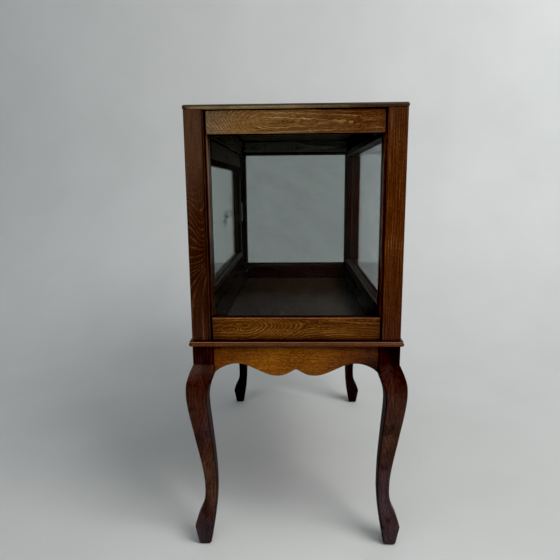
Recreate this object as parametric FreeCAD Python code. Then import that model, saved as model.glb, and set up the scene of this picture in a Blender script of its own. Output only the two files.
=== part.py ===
import FreeCAD, Part
import os
import math

V = FreeCAD.Vector

# ---------------------------------------------------------------------------
# Glazed tea table on cabriole legs.  Millimetres, +Z up.
# Origin on the floor, under the middle of the table.
# X is the narrow way, Y the long way.  The glazed door is on the -X long side,
# hung at its -Y end and locked at its +Y end.
# ---------------------------------------------------------------------------

# overall
HALF_W = 184.0            # centre to the outer face of a post, across
HALF_L = 330.0            # centre to the outer face of a post, along
Z_TOP = 802.0             # upper face of the top board
TOP_T = 8.0               # top board thickness
TOP_OVER = 1.5            # top board overhang past the posts
BASE_Z = 391.5            # underside of the base board
BASE_T = 9.5              # base board thickness
BASE_OVER = 6.0           # lower roll of the moulded edge past the posts
BASE_UP_OVER = 4.6        # upper, smaller roll past the posts
BASE_STEP = 6.0           # height of the lower roll

# posts
POST = 37.0               # square post
QUIRK_W = 3.9             # groove along the inner arris of each show face
QUIRK_D = 5.5

# rails
RAIL_BACK = 3.0           # rail face behind the post face
RAIL_T = 34.0             # rail thickness, back face flush with the post
TOP_RAIL_Z = 755.0        # lower edge of the upper rails
LOW_RAIL_Z = 442.0        # upper edge of the lower rails
LIP = 18.0                # end rail in front of the glass
LIP_SIDE = 14.0           # side rail in front of the glass
REBATE = 8.0              # glass rebate height in a rail
GLASS_T = 3.0
STRIP_W = 4.0             # width of the upright strips beside the far pane
PANE_IN = 4.2             # depth of the posts' grooves for the near and right panes
SIDE_BEAD_UP = 14.5       # lower side bead above the sight edge of its rail
SIDE_BEAD_DOWN = 5.0      # upper side bead below the sight edge of its rail
SHADOW_H = 1.6            # quirk under the top board
SHADOW_D = 4.0
TENON_L = 12.0
TENON_T = 10.0

# stand
APRON_T = 20.0
APRON_BACK = 3.0
APRON_TENON_T = 8.0
DOWEL_R = 5.0
DOWEL_IN = 25.0

# door
DOOR_X_OUT = -178.5       # outer face of the door frame
DOOR_X_IN = -153.0        # inner face of the door frame, a little behind the posts
DOOR_GAP = 1.5            # gap above, below and at the lock edge
HINGE_GAP = 1.0           # gap at the hinge edge
STILE_W = 45.0
DOOR_TOP_H = 38.0
DOOR_LOW_H = 36.5
DOOR_TOP_REB = 4.5       # glass rebate in the door's upper rail
DOOR_EASE = 1.0           # arrises of the door frame
DOOR_BEAD_UP = 4.0        # lower door bead above the sight edge of the frame
DOOR_BEAD_DOWN = 6.9      # upper door bead below it
STAR_Z = 594.5            # height of the cut star
DOOR_GLASS_X = -163.0     # middle of the door glass

# hinges
PIN_X = -182.0
PIN_Y = -292.5
PIN_R = 1.5
KNUCKLE_R = 3.2
LEAF_T = 1.6
LEAF_EDGE_X = -160.0
HINGE_H = 50.0
HINGE_Z = (498.0, 699.0)

# lock
KEY_Y = 273.0
KEY_Z = 592.0
BOLT_THROW = 8.0

Z_BASE_TOP = BASE_Z + BASE_T
Z_BOARD = Z_TOP - TOP_T
OUT = "parts"
os.makedirs("parts", exist_ok=True)


# ------------------------------------------------------------------ helpers
def box(x0, x1, y0, y1, z0, z1):
    return Part.makeBox(x1 - x0, y1 - y0, z1 - z0, V(x0, y0, z0))


def fuse(shapes):
    out = shapes[0]
    if len(shapes) > 1:
        out = out.multiFuse(shapes[1:])
    return out.removeSplitter()


def group(shapes):
    return Part.makeCompound(shapes)


def mx(shape):
    return shape.mirror(V(0, 0, 0), V(1, 0, 0))


def my(shape):
    return shape.mirror(V(0, 0, 0), V(0, 1, 0))


def save(name, shape):
    if not shape.isValid():
        shape.fix(1e-5, 1e-6, 1e-4)
    shape.exportStep(os.path.join(OUT, name + ".step"))
    print(name, "solids", len(shape.Solids), "volume", round(shape.Volume, 1), "valid", shape.isValid())


def upright_edges(shape, pts, tol=0.01):
    """Edges along Z that pass through the given plan points."""
    out = []
    for e in shape.Edges:
        a, b = e.Vertexes[0].Point, e.Vertexes[-1].Point
        if abs(a.x - b.x) < tol and abs(a.y - b.y) < tol and abs(a.z - b.z) > 1.0:
            for p in pts:
                if abs(a.x - p[0]) < tol and abs(a.y - p[1]) < tol:
                    out.append(e)
    return out


def line_edges(shape, axis, test):
    """Straight edges along one axis whose middle passes the test."""
    out = []
    for e in shape.Edges:
        a, b = e.Vertexes[0].Point, e.Vertexes[-1].Point
        d = b.sub(a)
        comp = {"x": abs(d.x), "y": abs(d.y), "z": abs(d.z)}
        if d.Length > 1.0 and comp[axis] > 0.999 * d.Length:
            m = a.add(b).multiply(0.5)
            if test(m):
                out.append(e)
    return out


def ease(shape, edges, r):
    if not edges:
        return shape
    try:
        s = shape.makeFillet(r, edges)
        if s.isValid():
            return s
    except Exception:
        pass
    return shape


def screw(pos, d, length, rs, rh, slot):
    """Countersunk wood screw: head flush at pos, running along d."""
    d = V(d).normalize()
    hh = rh - rs
    tip = rs * 2.0
    s = Part.makeCone(rh, rs, hh, pos, d)
    s = s.fuse(Part.makeCylinder(rs, length - hh - tip, pos + d * hh, d))
    s = s.fuse(Part.makeCone(rs, 0.25, tip, pos + d * (length - tip), d))
    side = d.cross(V(slot)).normalize()
    w, t, dep = rh * 2.4, rh * 0.26, rh * 0.32
    sv = V(slot).normalize()
    c = pos - d * 0.5
    pts = []
    for a, b in ((-1, -1), (1, -1), (1, 1), (-1, 1), (-1, -1)):
        pts.append(c + sv * (a * w / 2) + side * (b * t / 2))
    bar = Part.Face(Part.makePolygon(pts)).extrude(d * (dep + 0.5))
    return s.cut(bar).removeSplitter()


def screw_hole(pos, d, length, rs, rh, free=0.05):
    d = V(d).normalize()
    hh = rh - rs
    tip = rs * 2.0
    s = Part.makeCone(rh + free, rs + free, hh, pos, d)
    s = s.fuse(Part.makeCylinder(rs + free, length - hh - tip, pos + d * hh, d))
    s = s.fuse(Part.makeCone(rs + free, 0.3, tip + 0.3, pos + d * (length - tip), d))
    lead = Part.makeCylinder(rh + free, 0.4, pos - d * 0.4, d)
    return s.fuse(lead)


def rounded_square(x0, x1, y0, y1, z, r):
    """Closed square wire with rounded corners."""
    k = r * (1 - math.sqrt(0.5))
    e = [
        Part.makeLine(V(x0 + r, y0, z), V(x1 - r, y0, z)),
        Part.Arc(V(x1 - r, y0, z), V(x1 - k, y0 + k, z), V(x1, y0 + r, z)).toShape(),
        Part.makeLine(V(x1, y0 + r, z), V(x1, y1 - r, z)),
        Part.Arc(V(x1, y1 - r, z), V(x1 - k, y1 - k, z), V(x1 - r, y1, z)).toShape(),
        Part.makeLine(V(x1 - r, y1, z), V(x0 + r, y1, z)),
        Part.Arc(V(x0 + r, y1, z), V(x0 + k, y1 - k, z), V(x0, y1 - r, z)).toShape(),
        Part.makeLine(V(x0, y1 - r, z), V(x0, y0 + r, z)),
        Part.Arc(V(x0, y0 + r, z), V(x0 + k, y0 + k, z), V(x0 + r, y0, z)).toShape(),
    ]
    return Part.Wire(e)


def bullnose(x, y, z0, z1, corner, r):
    """Board centred on the origin with rounded plan corners and rounded edges."""
    b = box(-x, x, -y, y, z0, z1)
    b = b.makeFillet(corner, upright_edges(b, [(-x, -y), (x, -y), (x, y), (-x, y)]))
    rim = []
    for e in b.Edges:
        zs = [v.Point.z for v in e.Vertexes]
        if max(zs) - min(zs) < 0.01:
            rim.append(e)
    return b.makeFillet(r, rim)


# --------------------------------------------------------------------- legs
# Height, outer offset and inner offset of the square leg section, both
# measured inwards from the post faces (negative stands proud of them).
LEG_UPPER = [
    (356.0, 0.0, 37.0), (351.0, -2.5, 37.0), (345.0, -5.2, 36.9), (339.0, -7.6, 36.4),
    (332.0, -10.0, 34.6), (325.0, -11.9, 32.0), (318.0, -12.9, 29.2), (310.0, -13.4, 26.9),
    (302.0, -13.5, 25.4), (293.0, -13.1, 24.6), (277.0, -11.6, 24.8), (260.0, -9.5, 25.7),
    (243.0, -7.1, 26.9), (225.5, -4.5, 28.0), (208.0, -2.1, 29.1), (190.0, 0.6, 30.2),
    (172.5, 3.2, 31.2), (155.0, 5.6, 31.9), (137.0, 7.6, 32.3), (120.0, 8.8, 32.5),
    (104.0, 9.0, 32.2), (94.5, 8.6, 31.7), (86.5, 7.5, 31.2), (79.5, 5.8, 30.6),
    (72.5, 3.3, 29.9), (66.0, 0.4, 29.2), (60.0, -2.5, 28.4), (53.5, -5.3, 27.6),
    (46.5, -7.6, 26.6), (39.0, -9.0, 25.6),
]
LEG_FOOT = [
    (39.0, -9.0, 25.6), (4.5, -3.9, 19.7), (2.8, -3.3, 19.1), (1.5, -2.4, 18.1), (0.6, -1.0, 16.6), (0.0, 0.4, 15.3),
]
LEAN_X, LEAN_Y = 2.5, -3.5  # the near left leg stands this much out of true at the floor
KNEE_Z = LEG_UPPER[0][0]  # where the square block ends
BLOCK_EASE = 1.4          # arris of the square block
LEG_EASE = 4.0            # arris of the shaped part


def leg_section(z, o, i, lean=0.0):
    r = BLOCK_EASE + (LEG_EASE - BLOCK_EASE) * min(1.0, max(0.0, (KNEE_Z - z) / 55.0))
    t = min(1.0, max(0.0, (300.0 - z) / 170.0))
    t = lean * t * t * (3.0 - 2.0 * t)
    dx, dy = LEAN_X * t, LEAN_Y * t
    return rounded_square(-HALF_W + o + dx, -HALF_W + i + dx, -HALF_L + o + dy, -HALF_L + i + dy, z, r)


def near_left_leg(lean):
    block = Part.makeLoft([leg_section(BASE_Z, 0.0, POST), leg_section(KNEE_Z, 0.0, POST)], True, True)
    shin = Part.makeLoft([leg_section(*s, lean) for s in LEG_UPPER], True, False)
    foot = Part.makeLoft([leg_section(*s, lean) for s in LEG_FOOT], True, True)
    leg = block.multiFuse([shin, foot]).removeSplitter()
    xi, yi = -HALF_W + POST, -HALF_L + POST
    # the inner faces stay true where the aprons butt against them
    leg = leg.cut([
        box(xi, xi + 6, -HALF_L - 20, yi + 6, 325.0, BASE_Z + 1),
        box(-HALF_W - 20, xi + 6, yi, yi + 6, 325.0, BASE_Z + 1),
    ])
    a = 9.0
    tools = [
        box(xi - TENON_L - 0.2, xi + 1, -HALF_L + a, -HALF_L + a + APRON_TENON_T, 362.0, 386.0),
        box(-HALF_W + a, -HALF_W + a + APRON_TENON_T, yi - TENON_L - 0.2, yi + 1, 362.0, 386.0),
        Part.makeCylinder(DOWEL_R, DOWEL_IN + 0.5, V(-HALF_W + POST / 2, -HALF_L + POST / 2, BASE_Z - DOWEL_IN), V(0, 0, 1)),
    ]
    return leg.cut(tools)


leg = near_left_leg(0.0)
save("leg_near_left", near_left_leg(1.0))
save("leg_near_right", mx(leg))
save("leg_far_left", my(leg))
save("leg_far_right", mx(my(leg)))

# ------------------------------------------------------------------- aprons
# Half of the scalloped lower edge: distance from the middle and height.
END_SCALLOP = [
    (0.0, 347.2), (4.0, 345.2), (8.0, 342.9), (12.0, 340.6), (18.0, 337.7), (25.0, 335.6),
    (32.0, 334.9), (39.5, 335.3), (47.0, 336.8), (54.0, 339.2), (61.0, 342.1), (68.0, 345.4),
    (75.0, 348.8), (82.0, 352.1), (90.0, 355.1), (97.0, 356.9), (104.0, 357.6), (111.0, 357.4),
    (118.0, 356.3), (125.0, 354.1), (132.0, 350.9), (138.0, 347.4), (143.0, 343.4), (147.0, 339.2),
]
SIDE_SCALLOP = [
    (0.0, 347.2), (5.0, 344.7), (12.0, 340.8), (20.0, 337.3), (28.0, 335.3), (36.0, 334.9),
    (46.0, 335.9), (58.0, 338.9), (72.0, 343.6), (88.0, 349.0), (104.0, 353.4), (120.0, 356.2),
    (136.0, 357.4), (152.0, 357.7), (168.0, 357.7), (184.0, 357.7), (200.0, 357.7), (216.0, 357.7),
    (232.0, 357.7), (246.0, 357.6), (256.0, 357.1), (265.0, 355.5), (273.0, 352.3), (280.0, 348.3),
    (287.0, 343.8), (293.0, 339.2),
]


def scalloped(half, profile, y0, t):
    """Apron along X, face at y0, thickness t inwards (+Y)."""
    right = [V(a, y0, z) for a, z in profile]
    left = [V(-a, y0, z) for a, z in reversed(profile)]
    cr = Part.BSplineCurve()
    cr.interpolate(right)
    cl = Part.BSplineCurve()
    cl.interpolate(left)
    z_end = profile[-1][1]
    wire = Part.Wire([
        cl.toShape(), cr.toShape(),
        Part.makeLine(V(half, y0, z_end), V(half, y0, BASE_Z)),
        Part.makeLine(V(half, y0, BASE_Z), V(-half, y0, BASE_Z)),
        Part.makeLine(V(-half, y0, BASE_Z), V(-half, y0, z_end)),
    ])
    body = Part.Face(wire).extrude(V(0, t, 0))
    rim = []
    for e in body.Edges:
        c = e.BoundBox
        if c.YMax - c.YMin < 0.01 and abs(c.YMin - y0) < 0.01 and c.ZMax < BASE_Z - 5 and c.XLength > 20:
            rim.append(e)
    return ease(body, rim, 1.0)


def apron(half, profile, y_face, y_post):
    body = scalloped(half, profile, y_face, APRON_T)
    ty0 = y_post + 9.0
    t1 = box(half - 1, half + TENON_L, ty0, ty0 + APRON_TENON_T, 362.0, 386.0)
    t2 = box(-half - TENON_L, -half + 1, ty0, ty0 + APRON_TENON_T, 362.0, 386.0)
    return fuse([body, t1, t2])


# screws that pull the base board down on to the stand, through glue blocks
BLOCK = 20.0
blocks, base_screws, base_holes = [], [], []


def glue_block(x0, x1, y0, y1):
    z0 = BASE_Z - BLOCK
    b = box(x0, x1, y0, y1, z0, BASE_Z)
    p = V((x0 + x1) / 2, (y0 + y1) / 2, z0)
    hole = screw_hole(p, V(0, 0, 1), 26.0, 2.0, 4.0)
    blocks.append(b.cut(hole))
    base_screws.append(screw(p, V(0, 0, 1), 26.0, 2.0, 4.0, V(1, 0.3, 0)))
    base_holes.append(hole)


ye = HALF_L - APRON_BACK - APRON_T
xe = HALF_W - APRON_BACK - APRON_T
for sx in (-1, 1):
    glue_block(sx * 70 - 30, sx * 70 + 30, -ye, -ye + BLOCK)
    glue_block(sx * 70 - 30, sx * 70 + 30, ye - BLOCK, ye)
for yc in (-150, 150):
    glue_block(-xe, -xe + BLOCK, yc - 30, yc + 30)
    glue_block(xe - BLOCK, xe, yc - 30, yc + 30)

end_apron = apron(HALF_W - POST, END_SCALLOP, -HALF_L + APRON_BACK, -HALF_L)
save("end_apron_near", end_apron)
save("end_apron_far", my(end_apron))
long_apron = apron(HALF_L - POST, SIDE_SCALLOP, -HALF_W + APRON_BACK, -HALF_W)
long_apron.rotate(V(0, 0, 0), V(0, 0, 1), -90)
# rotated a quarter turn: the face that looked along -Y now looks along -X
save("side_apron_left", long_apron)
save("side_apron_right", mx(long_apron))
save("glue_blocks", group(blocks))
save("base_screws", group(base_screws))

# --------------------------------------------------------------- base board
base = fuse([
    bullnose(HALF_W + BASE_OVER, HALF_L + BASE_OVER, BASE_Z, BASE_Z + BASE_STEP, 5.0, 2.8),
    bullnose(HALF_W + BASE_UP_OVER, HALF_L + BASE_UP_OVER, BASE_Z + BASE_STEP, Z_BASE_TOP, 4.0, 1.6),
])
tools = list(base_holes)
dowels = []
for sx in (-1, 1):
    for sy in (-1, 1):
        c = V(sx * (HALF_W - POST / 2), sy * (HALF_L - POST / 2), BASE_Z - DOWEL_IN)
        tools.append(Part.makeCylinder(DOWEL_R, 2 * DOWEL_IN + BASE_T, c, V(0, 0, 1)))
        dowels.append(Part.makeCylinder(DOWEL_R - 0.05, 2 * DOWEL_IN + BASE_T - 1.0, c + V(0, 0, 0.5), V(0, 0, 1)))
save("base_board", base.cut(tools))
save("corner_dowels", group(dowels))


# -------------------------------------------------------------------- posts
def near_left_post():
    x0, x1 = -HALF_W, -HALF_W + POST
    y0, y1 = -HALF_L, -HALF_L + POST
    p = box(x0, x1, y0, y1, Z_BASE_TOP, Z_BOARD)
    p = p.makeFillet(1.8, upright_edges(p, [(x0, y0)]))
    p = p.cut([
        box(x1 - QUIRK_W, x1 + 1, y0 - 1, y0 + QUIRK_D, Z_BASE_TOP - 1, Z_BOARD + 1),
        box(x0 - 1, x0 + QUIRK_D, y1 - QUIRK_W, y1 + 1, Z_BASE_TOP - 1, Z_BOARD + 1),
    ])
    p = ease(p, upright_edges(p, [(x1 - QUIRK_W, y0), (x0, y1 - QUIRK_W)]), 1.2)
    a = 10.0
    tools = [Part.makeCylinder(DOWEL_R, DOWEL_IN + 0.5, V(x0 + POST / 2, y0 + POST / 2, Z_BASE_TOP - 0.5), V(0, 0, 1))]
    for z0, z1 in ((408.0, 430.0), (766.0, 788.0)):
        tools.append(box(x1 - TENON_L - 0.2, x1 + 1, y0 + a, y0 + a + TENON_T, z0, z1))
        tools.append(box(x0 + a, x0 + a + TENON_T, y1 - TENON_L - 0.2, y1 + 1, z0, z1))
    return p.cut(tools)


def end_groove():
    """Groove in the near left post that holds the end pane's edge."""
    x1 = -HALF_W + POST
    y0 = -HALF_L + RAIL_BACK + LIP
    return box(x1 - PANE_IN, x1 + 1, y0 - 0.1, y0 + GLASS_T + 0.1, LOW_RAIL_Z - REBATE, TOP_RAIL_Z + REBATE)


def side_groove():
    """Groove in the near right post that holds the right-hand pane's edge."""
    y1 = -HALF_L + POST
    x0 = HALF_W - RAIL_BACK - LIP_SIDE
    return box(x0 - GLASS_T - 0.1, x0 + 0.1, y1 - PANE_IN, y1 + 1, LOW_RAIL_Z - REBATE, TOP_RAIL_Z + REBATE)


post = near_left_post()
post_nl = post.cut(end_groove())
post_nr = mx(post_nl).cut(side_groove())
post_fl = my(post)
post_fr = mx(my(post)).cut(my(side_groove()))


# -------------------------------------------------------------------- rails
def rail(half, face, upper, rebated, post_face, lip):
    """Rail along X, face at y = face, thickness inwards (+Y)."""
    z0, z1 = (TOP_RAIL_Z, Z_BOARD) if upper else (Z_BASE_TOP, LOW_RAIL_Z)
    b = box(-half, half, face, face + RAIL_T, z0, z1)
    if rebated:
        if upper:
            b = b.cut(box(-half - 1, half + 1, face + lip, face + RAIL_T + 1, z0 - 1, z0 + REBATE))
        else:
            b = b.cut(box(-half - 1, half + 1, face + lip, face + RAIL_T + 1, z1 - REBATE, z1 + 1))
    if upper:
        b = b.cut(box(-half - 1, half + 1, face - 1, face + SHADOW_D, z1 - SHADOW_H, z1 + 1))
        b = ease(b, line_edges(b, "x", lambda m: abs(m.y - face) < 0.01 and abs(m.z - z0) < 0.01), 1.5)
    else:
        b = ease(b, line_edges(b, "x", lambda m: abs(m.y - face) < 0.01 and abs(m.z - z1) < 0.01), 1.5)
    ty = post_face + 10.0
    tz0, tz1 = (766.0, 788.0) if upper else (408.0, 430.0)
    t1 = box(half - 1, half + TENON_L, ty, ty + TENON_T, tz0, tz1)
    t2 = box(-half - TENON_L, -half + 1, ty, ty + TENON_T, tz0, tz1)
    return fuse([b, t1, t2])


end_half = HALF_W - POST
side_half = HALF_L - POST
end_face = -HALF_L + RAIL_BACK
side_face = -HALF_W + RAIL_BACK
end_top = rail(end_half, end_face, True, True, -HALF_L, LIP)
end_low = rail(end_half, end_face, False, True, -HALF_L, LIP)


def side_rail(upper, rebated):
    r = rail(side_half, side_face, upper, rebated, -HALF_W, LIP_SIDE)
    r.rotate(V(0, 0, 0), V(0, 0, 1), -90)
    return r                      # on the -X side


# hidden dowels between the upper rails and the top board
TD_R, TD_L, TD_IN = 3.0, 24.0, 5.0
top_dowels, top_dowel_holes = [], []
td_y = HALF_L - RAIL_BACK - 13.0
td_x = HALF_W - RAIL_BACK - 13.0
spots = [(sx * 90.0, sy * td_y) for sx in (-1, 1) for sy in (-1, 1)]
spots += [(sx * td_x, yy) for sx in (-1, 1) for yy in (-200.0, 0.0, 200.0)]
for px, py in spots:
    c = V(px, py, Z_BOARD + TD_IN - TD_L)
    top_dowel_holes.append(Part.makeCylinder(TD_R, TD_L + 0.6, c - V(0, 0, 0.3), V(0, 0, 1)))
    top_dowels.append(Part.makeCylinder(TD_R - 0.05, TD_L, c, V(0, 0, 1)))

save("end_rail_top_near", end_top.cut(top_dowel_holes))
save("end_rail_top_far", my(end_top).cut(top_dowel_holes))
save("end_rail_low_near", end_low)
save("end_rail_low_far", my(end_low))

side_top_left = side_rail(True, False)
side_low_left = side_rail(False, False)
save("side_rail_top_right", mx(side_rail(True, True)).cut(top_dowel_holes))
save("side_rail_low_right", mx(side_rail(False, True)))

# ---------------------------------------------------------------- top board
top = bullnose(HALF_W + TOP_OVER, HALF_L + TOP_OVER, Z_BOARD, Z_TOP, 4.0, 3.7)
save("top_board", top.cut(top_dowel_holes))
save("top_dowels", group(top_dowels))

# ----------------------------------------------- fixed glass and its timber
SIT = 0.4                                  # glass clear of the rebate
BEAD_R = 2.0                               # rounding of the beads' inner arris
BEAD_Q = 1.2                               # quirk run along a bead


def end_glazing(grooved):
    """Pane, beads and strips of the near end.  In grooved posts the pane has no strips,
    and its lower bead is kept below the rail."""
    y1 = end_face + LIP
    gx = end_half - SIT + (PANE_IN if grooved else 0.0)
    g = box(-gx, gx, y1, y1 + GLASS_T, LOW_RAIL_Z - REBATE + SIT, TOP_RAIL_Z + REBATE - SIT)
    yb0, yb1 = y1 + GLASS_T, end_face + RAIL_T
    low = LOW_RAIL_Z - (4.0 if grooved else 0.0)
    beads = [
        box(-end_half, end_half, yb0, yb1, TOP_RAIL_Z, TOP_RAIL_Z + REBATE),
        box(-end_half, end_half, yb0, yb1, LOW_RAIL_Z - REBATE, low),
        box(-end_half, -end_half + STRIP_W, yb0, yb1 - 0.5, LOW_RAIL_Z, TOP_RAIL_Z),
        box(end_half - STRIP_W, end_half, yb0, yb1 - 0.5, LOW_RAIL_Z, TOP_RAIL_Z),
    ]
    for i, z in ((0, TOP_RAIL_Z), (1, low)):
        beads[i] = ease(beads[i], line_edges(beads[i], "x", lambda m: abs(m.y - yb1) < 0.01 and abs(m.z - z) < 0.01), BEAD_R)
    if grooved:
        return g, group(beads[:2]), None
    for i, x in ((2, -end_half + STRIP_W), (3, end_half - STRIP_W)):
        beads[i] = ease(beads[i], upright_edges(beads[i], [(x, yb1 - 0.5)]), BEAD_R)
    ys0 = end_face + 3.0
    strips = [
        box(-end_half, -end_half + STRIP_W, ys0, y1, LOW_RAIL_Z, TOP_RAIL_Z),
        box(end_half - STRIP_W, end_half, ys0, y1, LOW_RAIL_Z, TOP_RAIL_Z),
    ]
    soft = []
    for s, xe_ in zip(strips, (-end_half + STRIP_W, end_half - STRIP_W)):
        soft.append(ease(s, upright_edges(s, [(xe_, ys0)]), 1.5))
    return g, group(beads), group(soft)


g, beads, _ = end_glazing(True)
save("glass_near", g)
save("glazing_beads_near", beads)
g, beads, strips = end_glazing(False)
save("glass_far", my(g))
save("glazing_beads_far", my(beads))
save("stop_strips_far", my(strips))

x1 = HALF_W - RAIL_BACK - LIP_SIDE         # outer face of the side glass
gy = side_half - SIT + PANE_IN
glass_right = box(x1 - GLASS_T, x1, -gy, gy, LOW_RAIL_Z - REBATE + SIT, TOP_RAIL_Z + REBATE - SIT)
save("glass_right", glass_right)
xb0, xb1 = HALF_W - RAIL_BACK - RAIL_T, x1 - GLASS_T
side_beads = []
for z0, z1, z in ((TOP_RAIL_Z - SIDE_BEAD_DOWN, TOP_RAIL_Z + REBATE, TOP_RAIL_Z - SIDE_BEAD_DOWN),
                  (LOW_RAIL_Z - REBATE, LOW_RAIL_Z + SIDE_BEAD_UP, LOW_RAIL_Z + SIDE_BEAD_UP)):
    b = box(xb0, xb1, -side_half, side_half, z0, z1)
    b = ease(b, line_edges(b, "y", lambda m: abs(m.x - xb0) < 0.01 and abs(m.z - z) < 0.01), BEAD_R)
    # two quirks along the face that looks across the opening
    for q in (6.2, 12.2):
        b = b.cut(box(xb0 + q, xb0 + q + BEAD_Q, -side_half - 1, side_half + 1, z - BEAD_Q, z + BEAD_Q))
    side_beads.append(b)
save("glazing_beads_right", group(side_beads))

# --------------------------------------------------------------------- door
DZ0, DZ1 = LOW_RAIL_Z + DOOR_GAP, TOP_RAIL_Z - DOOR_GAP
DY0, DY1 = -side_half + HINGE_GAP, side_half - DOOR_GAP
PZ0, PZ1 = DZ0 + DOOR_LOW_H, DZ1 - DOOR_TOP_H          # sight edges of the pane
PY0, PY1 = DY0 + STILE_W, DY1 - STILE_W
GX0, GX1 = DOOR_GLASS_X - GLASS_T / 2, DOOR_GLASS_X + GLASS_T / 2
PY_MID, PZ_MID = (PY0 + PY1) / 2, (PZ0 + PZ1) / 2
DT0, DT1 = -176.0, -166.5                              # door tenons, across
TOP_T0, TOP_T1 = PZ1 + 12.0, DZ1 - 8.0
LOW_T0, LOW_T1 = DZ0 + 8.0, PZ0 - 12.0
DOOR_TENON = 26.0


def door_stile(near):
    y0, y1 = (DY0, PY0) if near else (PY1, DY1)
    s = box(DOOR_X_OUT, DOOR_X_IN, y0, y1, DZ0, DZ1)
    s = ease(s, upright_edges(s, [(DOOR_X_OUT, y0), (DOOR_X_OUT, y1)]), DOOR_EASE)
    if near:
        reb = box(GX0, DOOR_X_IN + 1, y1 - REBATE, y1 + 1, PZ0 - REBATE, PZ1 + DOOR_TOP_REB)
        mort = [box(DT0, DT1, y1 - DOOR_TENON - 0.3, y1 + 1, a, b) for a, b in ((TOP_T0, TOP_T1), (LOW_T0, LOW_T1))]
    else:
        reb = box(GX0, DOOR_X_IN + 1, y0 - 1, y0 + REBATE, PZ0 - REBATE, PZ1 + DOOR_TOP_REB)
        mort = [box(DT0, DT1, y0 - 1, y0 + DOOR_TENON + 0.3, a, b) for a, b in ((TOP_T0, TOP_T1), (LOW_T0, LOW_T1))]
    return s.cut([reb] + mort)


def door_rail(upper):
    z0, z1 = (PZ1, DZ1) if upper else (DZ0, PZ0)
    r = box(DOOR_X_OUT, DOOR_X_IN, PY0, PY1, z0, z1)
    if upper:
        r = r.cut(box(GX0, DOOR_X_IN + 1, PY0 - 1, PY1 + 1, z0 - 1, z0 + DOOR_TOP_REB))
        a, b = TOP_T0, TOP_T1
    else:
        r = r.cut(box(GX0, DOOR_X_IN + 1, PY0 - 1, PY1 + 1, z1 - REBATE, z1 + 1))
        a, b = LOW_T0, LOW_T1
    r = ease(r, line_edges(r, "y", lambda m: abs(m.x - DOOR_X_OUT) < 0.01), DOOR_EASE)
    return fuse([r, box(DT0, DT1, PY0 - DOOR_TENON, PY0 + 1, a, b), box(DT0, DT1, PY1 - 1, PY1 + DOOR_TENON, a, b)])


stile_near = door_stile(True)
stile_far = door_stile(False)
save("door_rail_top", door_rail(True))
save("door_rail_low", door_rail(False))

# pane with a small wheel-cut star in the middle, cut into the outer face
pane = box(GX0, GX1, PY0 - REBATE + SIT, PY1 + REBATE - SIT, PZ0 - REBATE + SIT, PZ1 + DOOR_TOP_REB - SIT)


def star_ray(dy, dz, half, depth):
    """V cut: a long thin kite from near the middle out to (dy, dz)."""
    n = math.hypot(dy, dz)
    ca, sa = dy / n, dz / n

    def at(r, w, d):
        return V(GX0 + d, PY_MID + r * ca - w * sa, STAR_Z + r * sa + w * ca)
    r0, r1 = 5.5, n
    rm = r0 + (r1 - r0) * 0.36
    A, B = at(r0, 0, 0), at(r1, 0, 0)
    C, D = at(rm, half, 0), at(rm, -half, 0)
    E = at(rm, 0, depth)
    faces = [Part.Face(Part.makePolygon(t + [t[0]])) for t in ([A, C, E], [C, B, E], [B, D, E], [D, A, E])]
    faces.append(Part.Face(Part.makePolygon([A, D, B, C, A])))
    return Part.makeSolid(Part.makeShell(faces))


# oval star: two long level rays, a little askew, two short upright ones, four between
rays = [
    star_ray(55.0, 5.5, 1.7, 0.9), star_ray(-55.0, -5.5, 1.7, 0.9),
    star_ray(-5.0, 27.0, 2.2, 0.9), star_ray(5.0, -27.0, 2.2, 0.9),
    star_ray(29.0, 21.0, 1.7, 0.8), star_ray(-29.0, -21.0, 1.7, 0.8),
    star_ray(31.0, -18.0, 1.7, 0.8), star_ray(-31.0, 18.0, 1.7, 0.8),
]
save("door_glass", pane.cut(rays))

# mitred beads behind the pane, quirked and rounded towards the inside
DBX0 = GX1
OUTER = [(PY0 - REBATE, PZ0 - REBATE), (PY1 + REBATE, PZ0 - REBATE), (PY1 + REBATE, PZ1 + DOOR_TOP_REB), (PY0 - REBATE, PZ1 + DOOR_TOP_REB)]
SZ0, SZ1 = PZ0 + DOOR_BEAD_UP, PZ1 - DOOR_BEAD_DOWN
SIGHT = [(PY0, SZ0), (PY1, SZ0), (PY1, SZ1), (PY0, SZ1)]
door_beads = []
for k in range(4):
    k2 = (k + 1) % 4
    pts = [V(DBX0, *q) for q in (OUTER[k], OUTER[k2], SIGHT[k2], SIGHT[k])]
    b = Part.Face(Part.makePolygon(pts + [pts[0]])).extrude(V(DOOR_X_IN - DBX0, 0, 0))
    (ya, za), (yb, zb) = SIGHT[k], SIGHT[k2]
    if k % 2 == 0:
        b = ease(b, line_edges(b, "y", lambda m: abs(m.x - DOOR_X_IN) < 0.01 and abs(m.z - za) < 0.01), BEAD_R)
        for q in (1.4, 4.2):
            b = b.cut(box(DBX0 + q, DBX0 + q + BEAD_Q, PY0 - REBATE, PY1 + REBATE, za - BEAD_Q, za + BEAD_Q))
        if k == 2:
            for q in (3.9, 6.6):
                b = b.cut(box(DOOR_X_IN - BEAD_Q, DOOR_X_IN + 1, PY0 - REBATE, PY1 + REBATE, za + q, za + q + BEAD_Q))
    else:
        b = ease(b, line_edges(b, "z", lambda m: abs(m.x - DOOR_X_IN) < 0.01 and abs(m.y - ya) < 0.01), BEAD_R)
        b = b.cut(box(DBX0 + 4.2, DBX0 + 4.2 + BEAD_Q, ya - BEAD_Q, ya + BEAD_Q, PZ0 - REBATE, PZ1 + REBATE))
    door_beads.append(b)
save("door_glazing_beads", group(door_beads))

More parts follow.
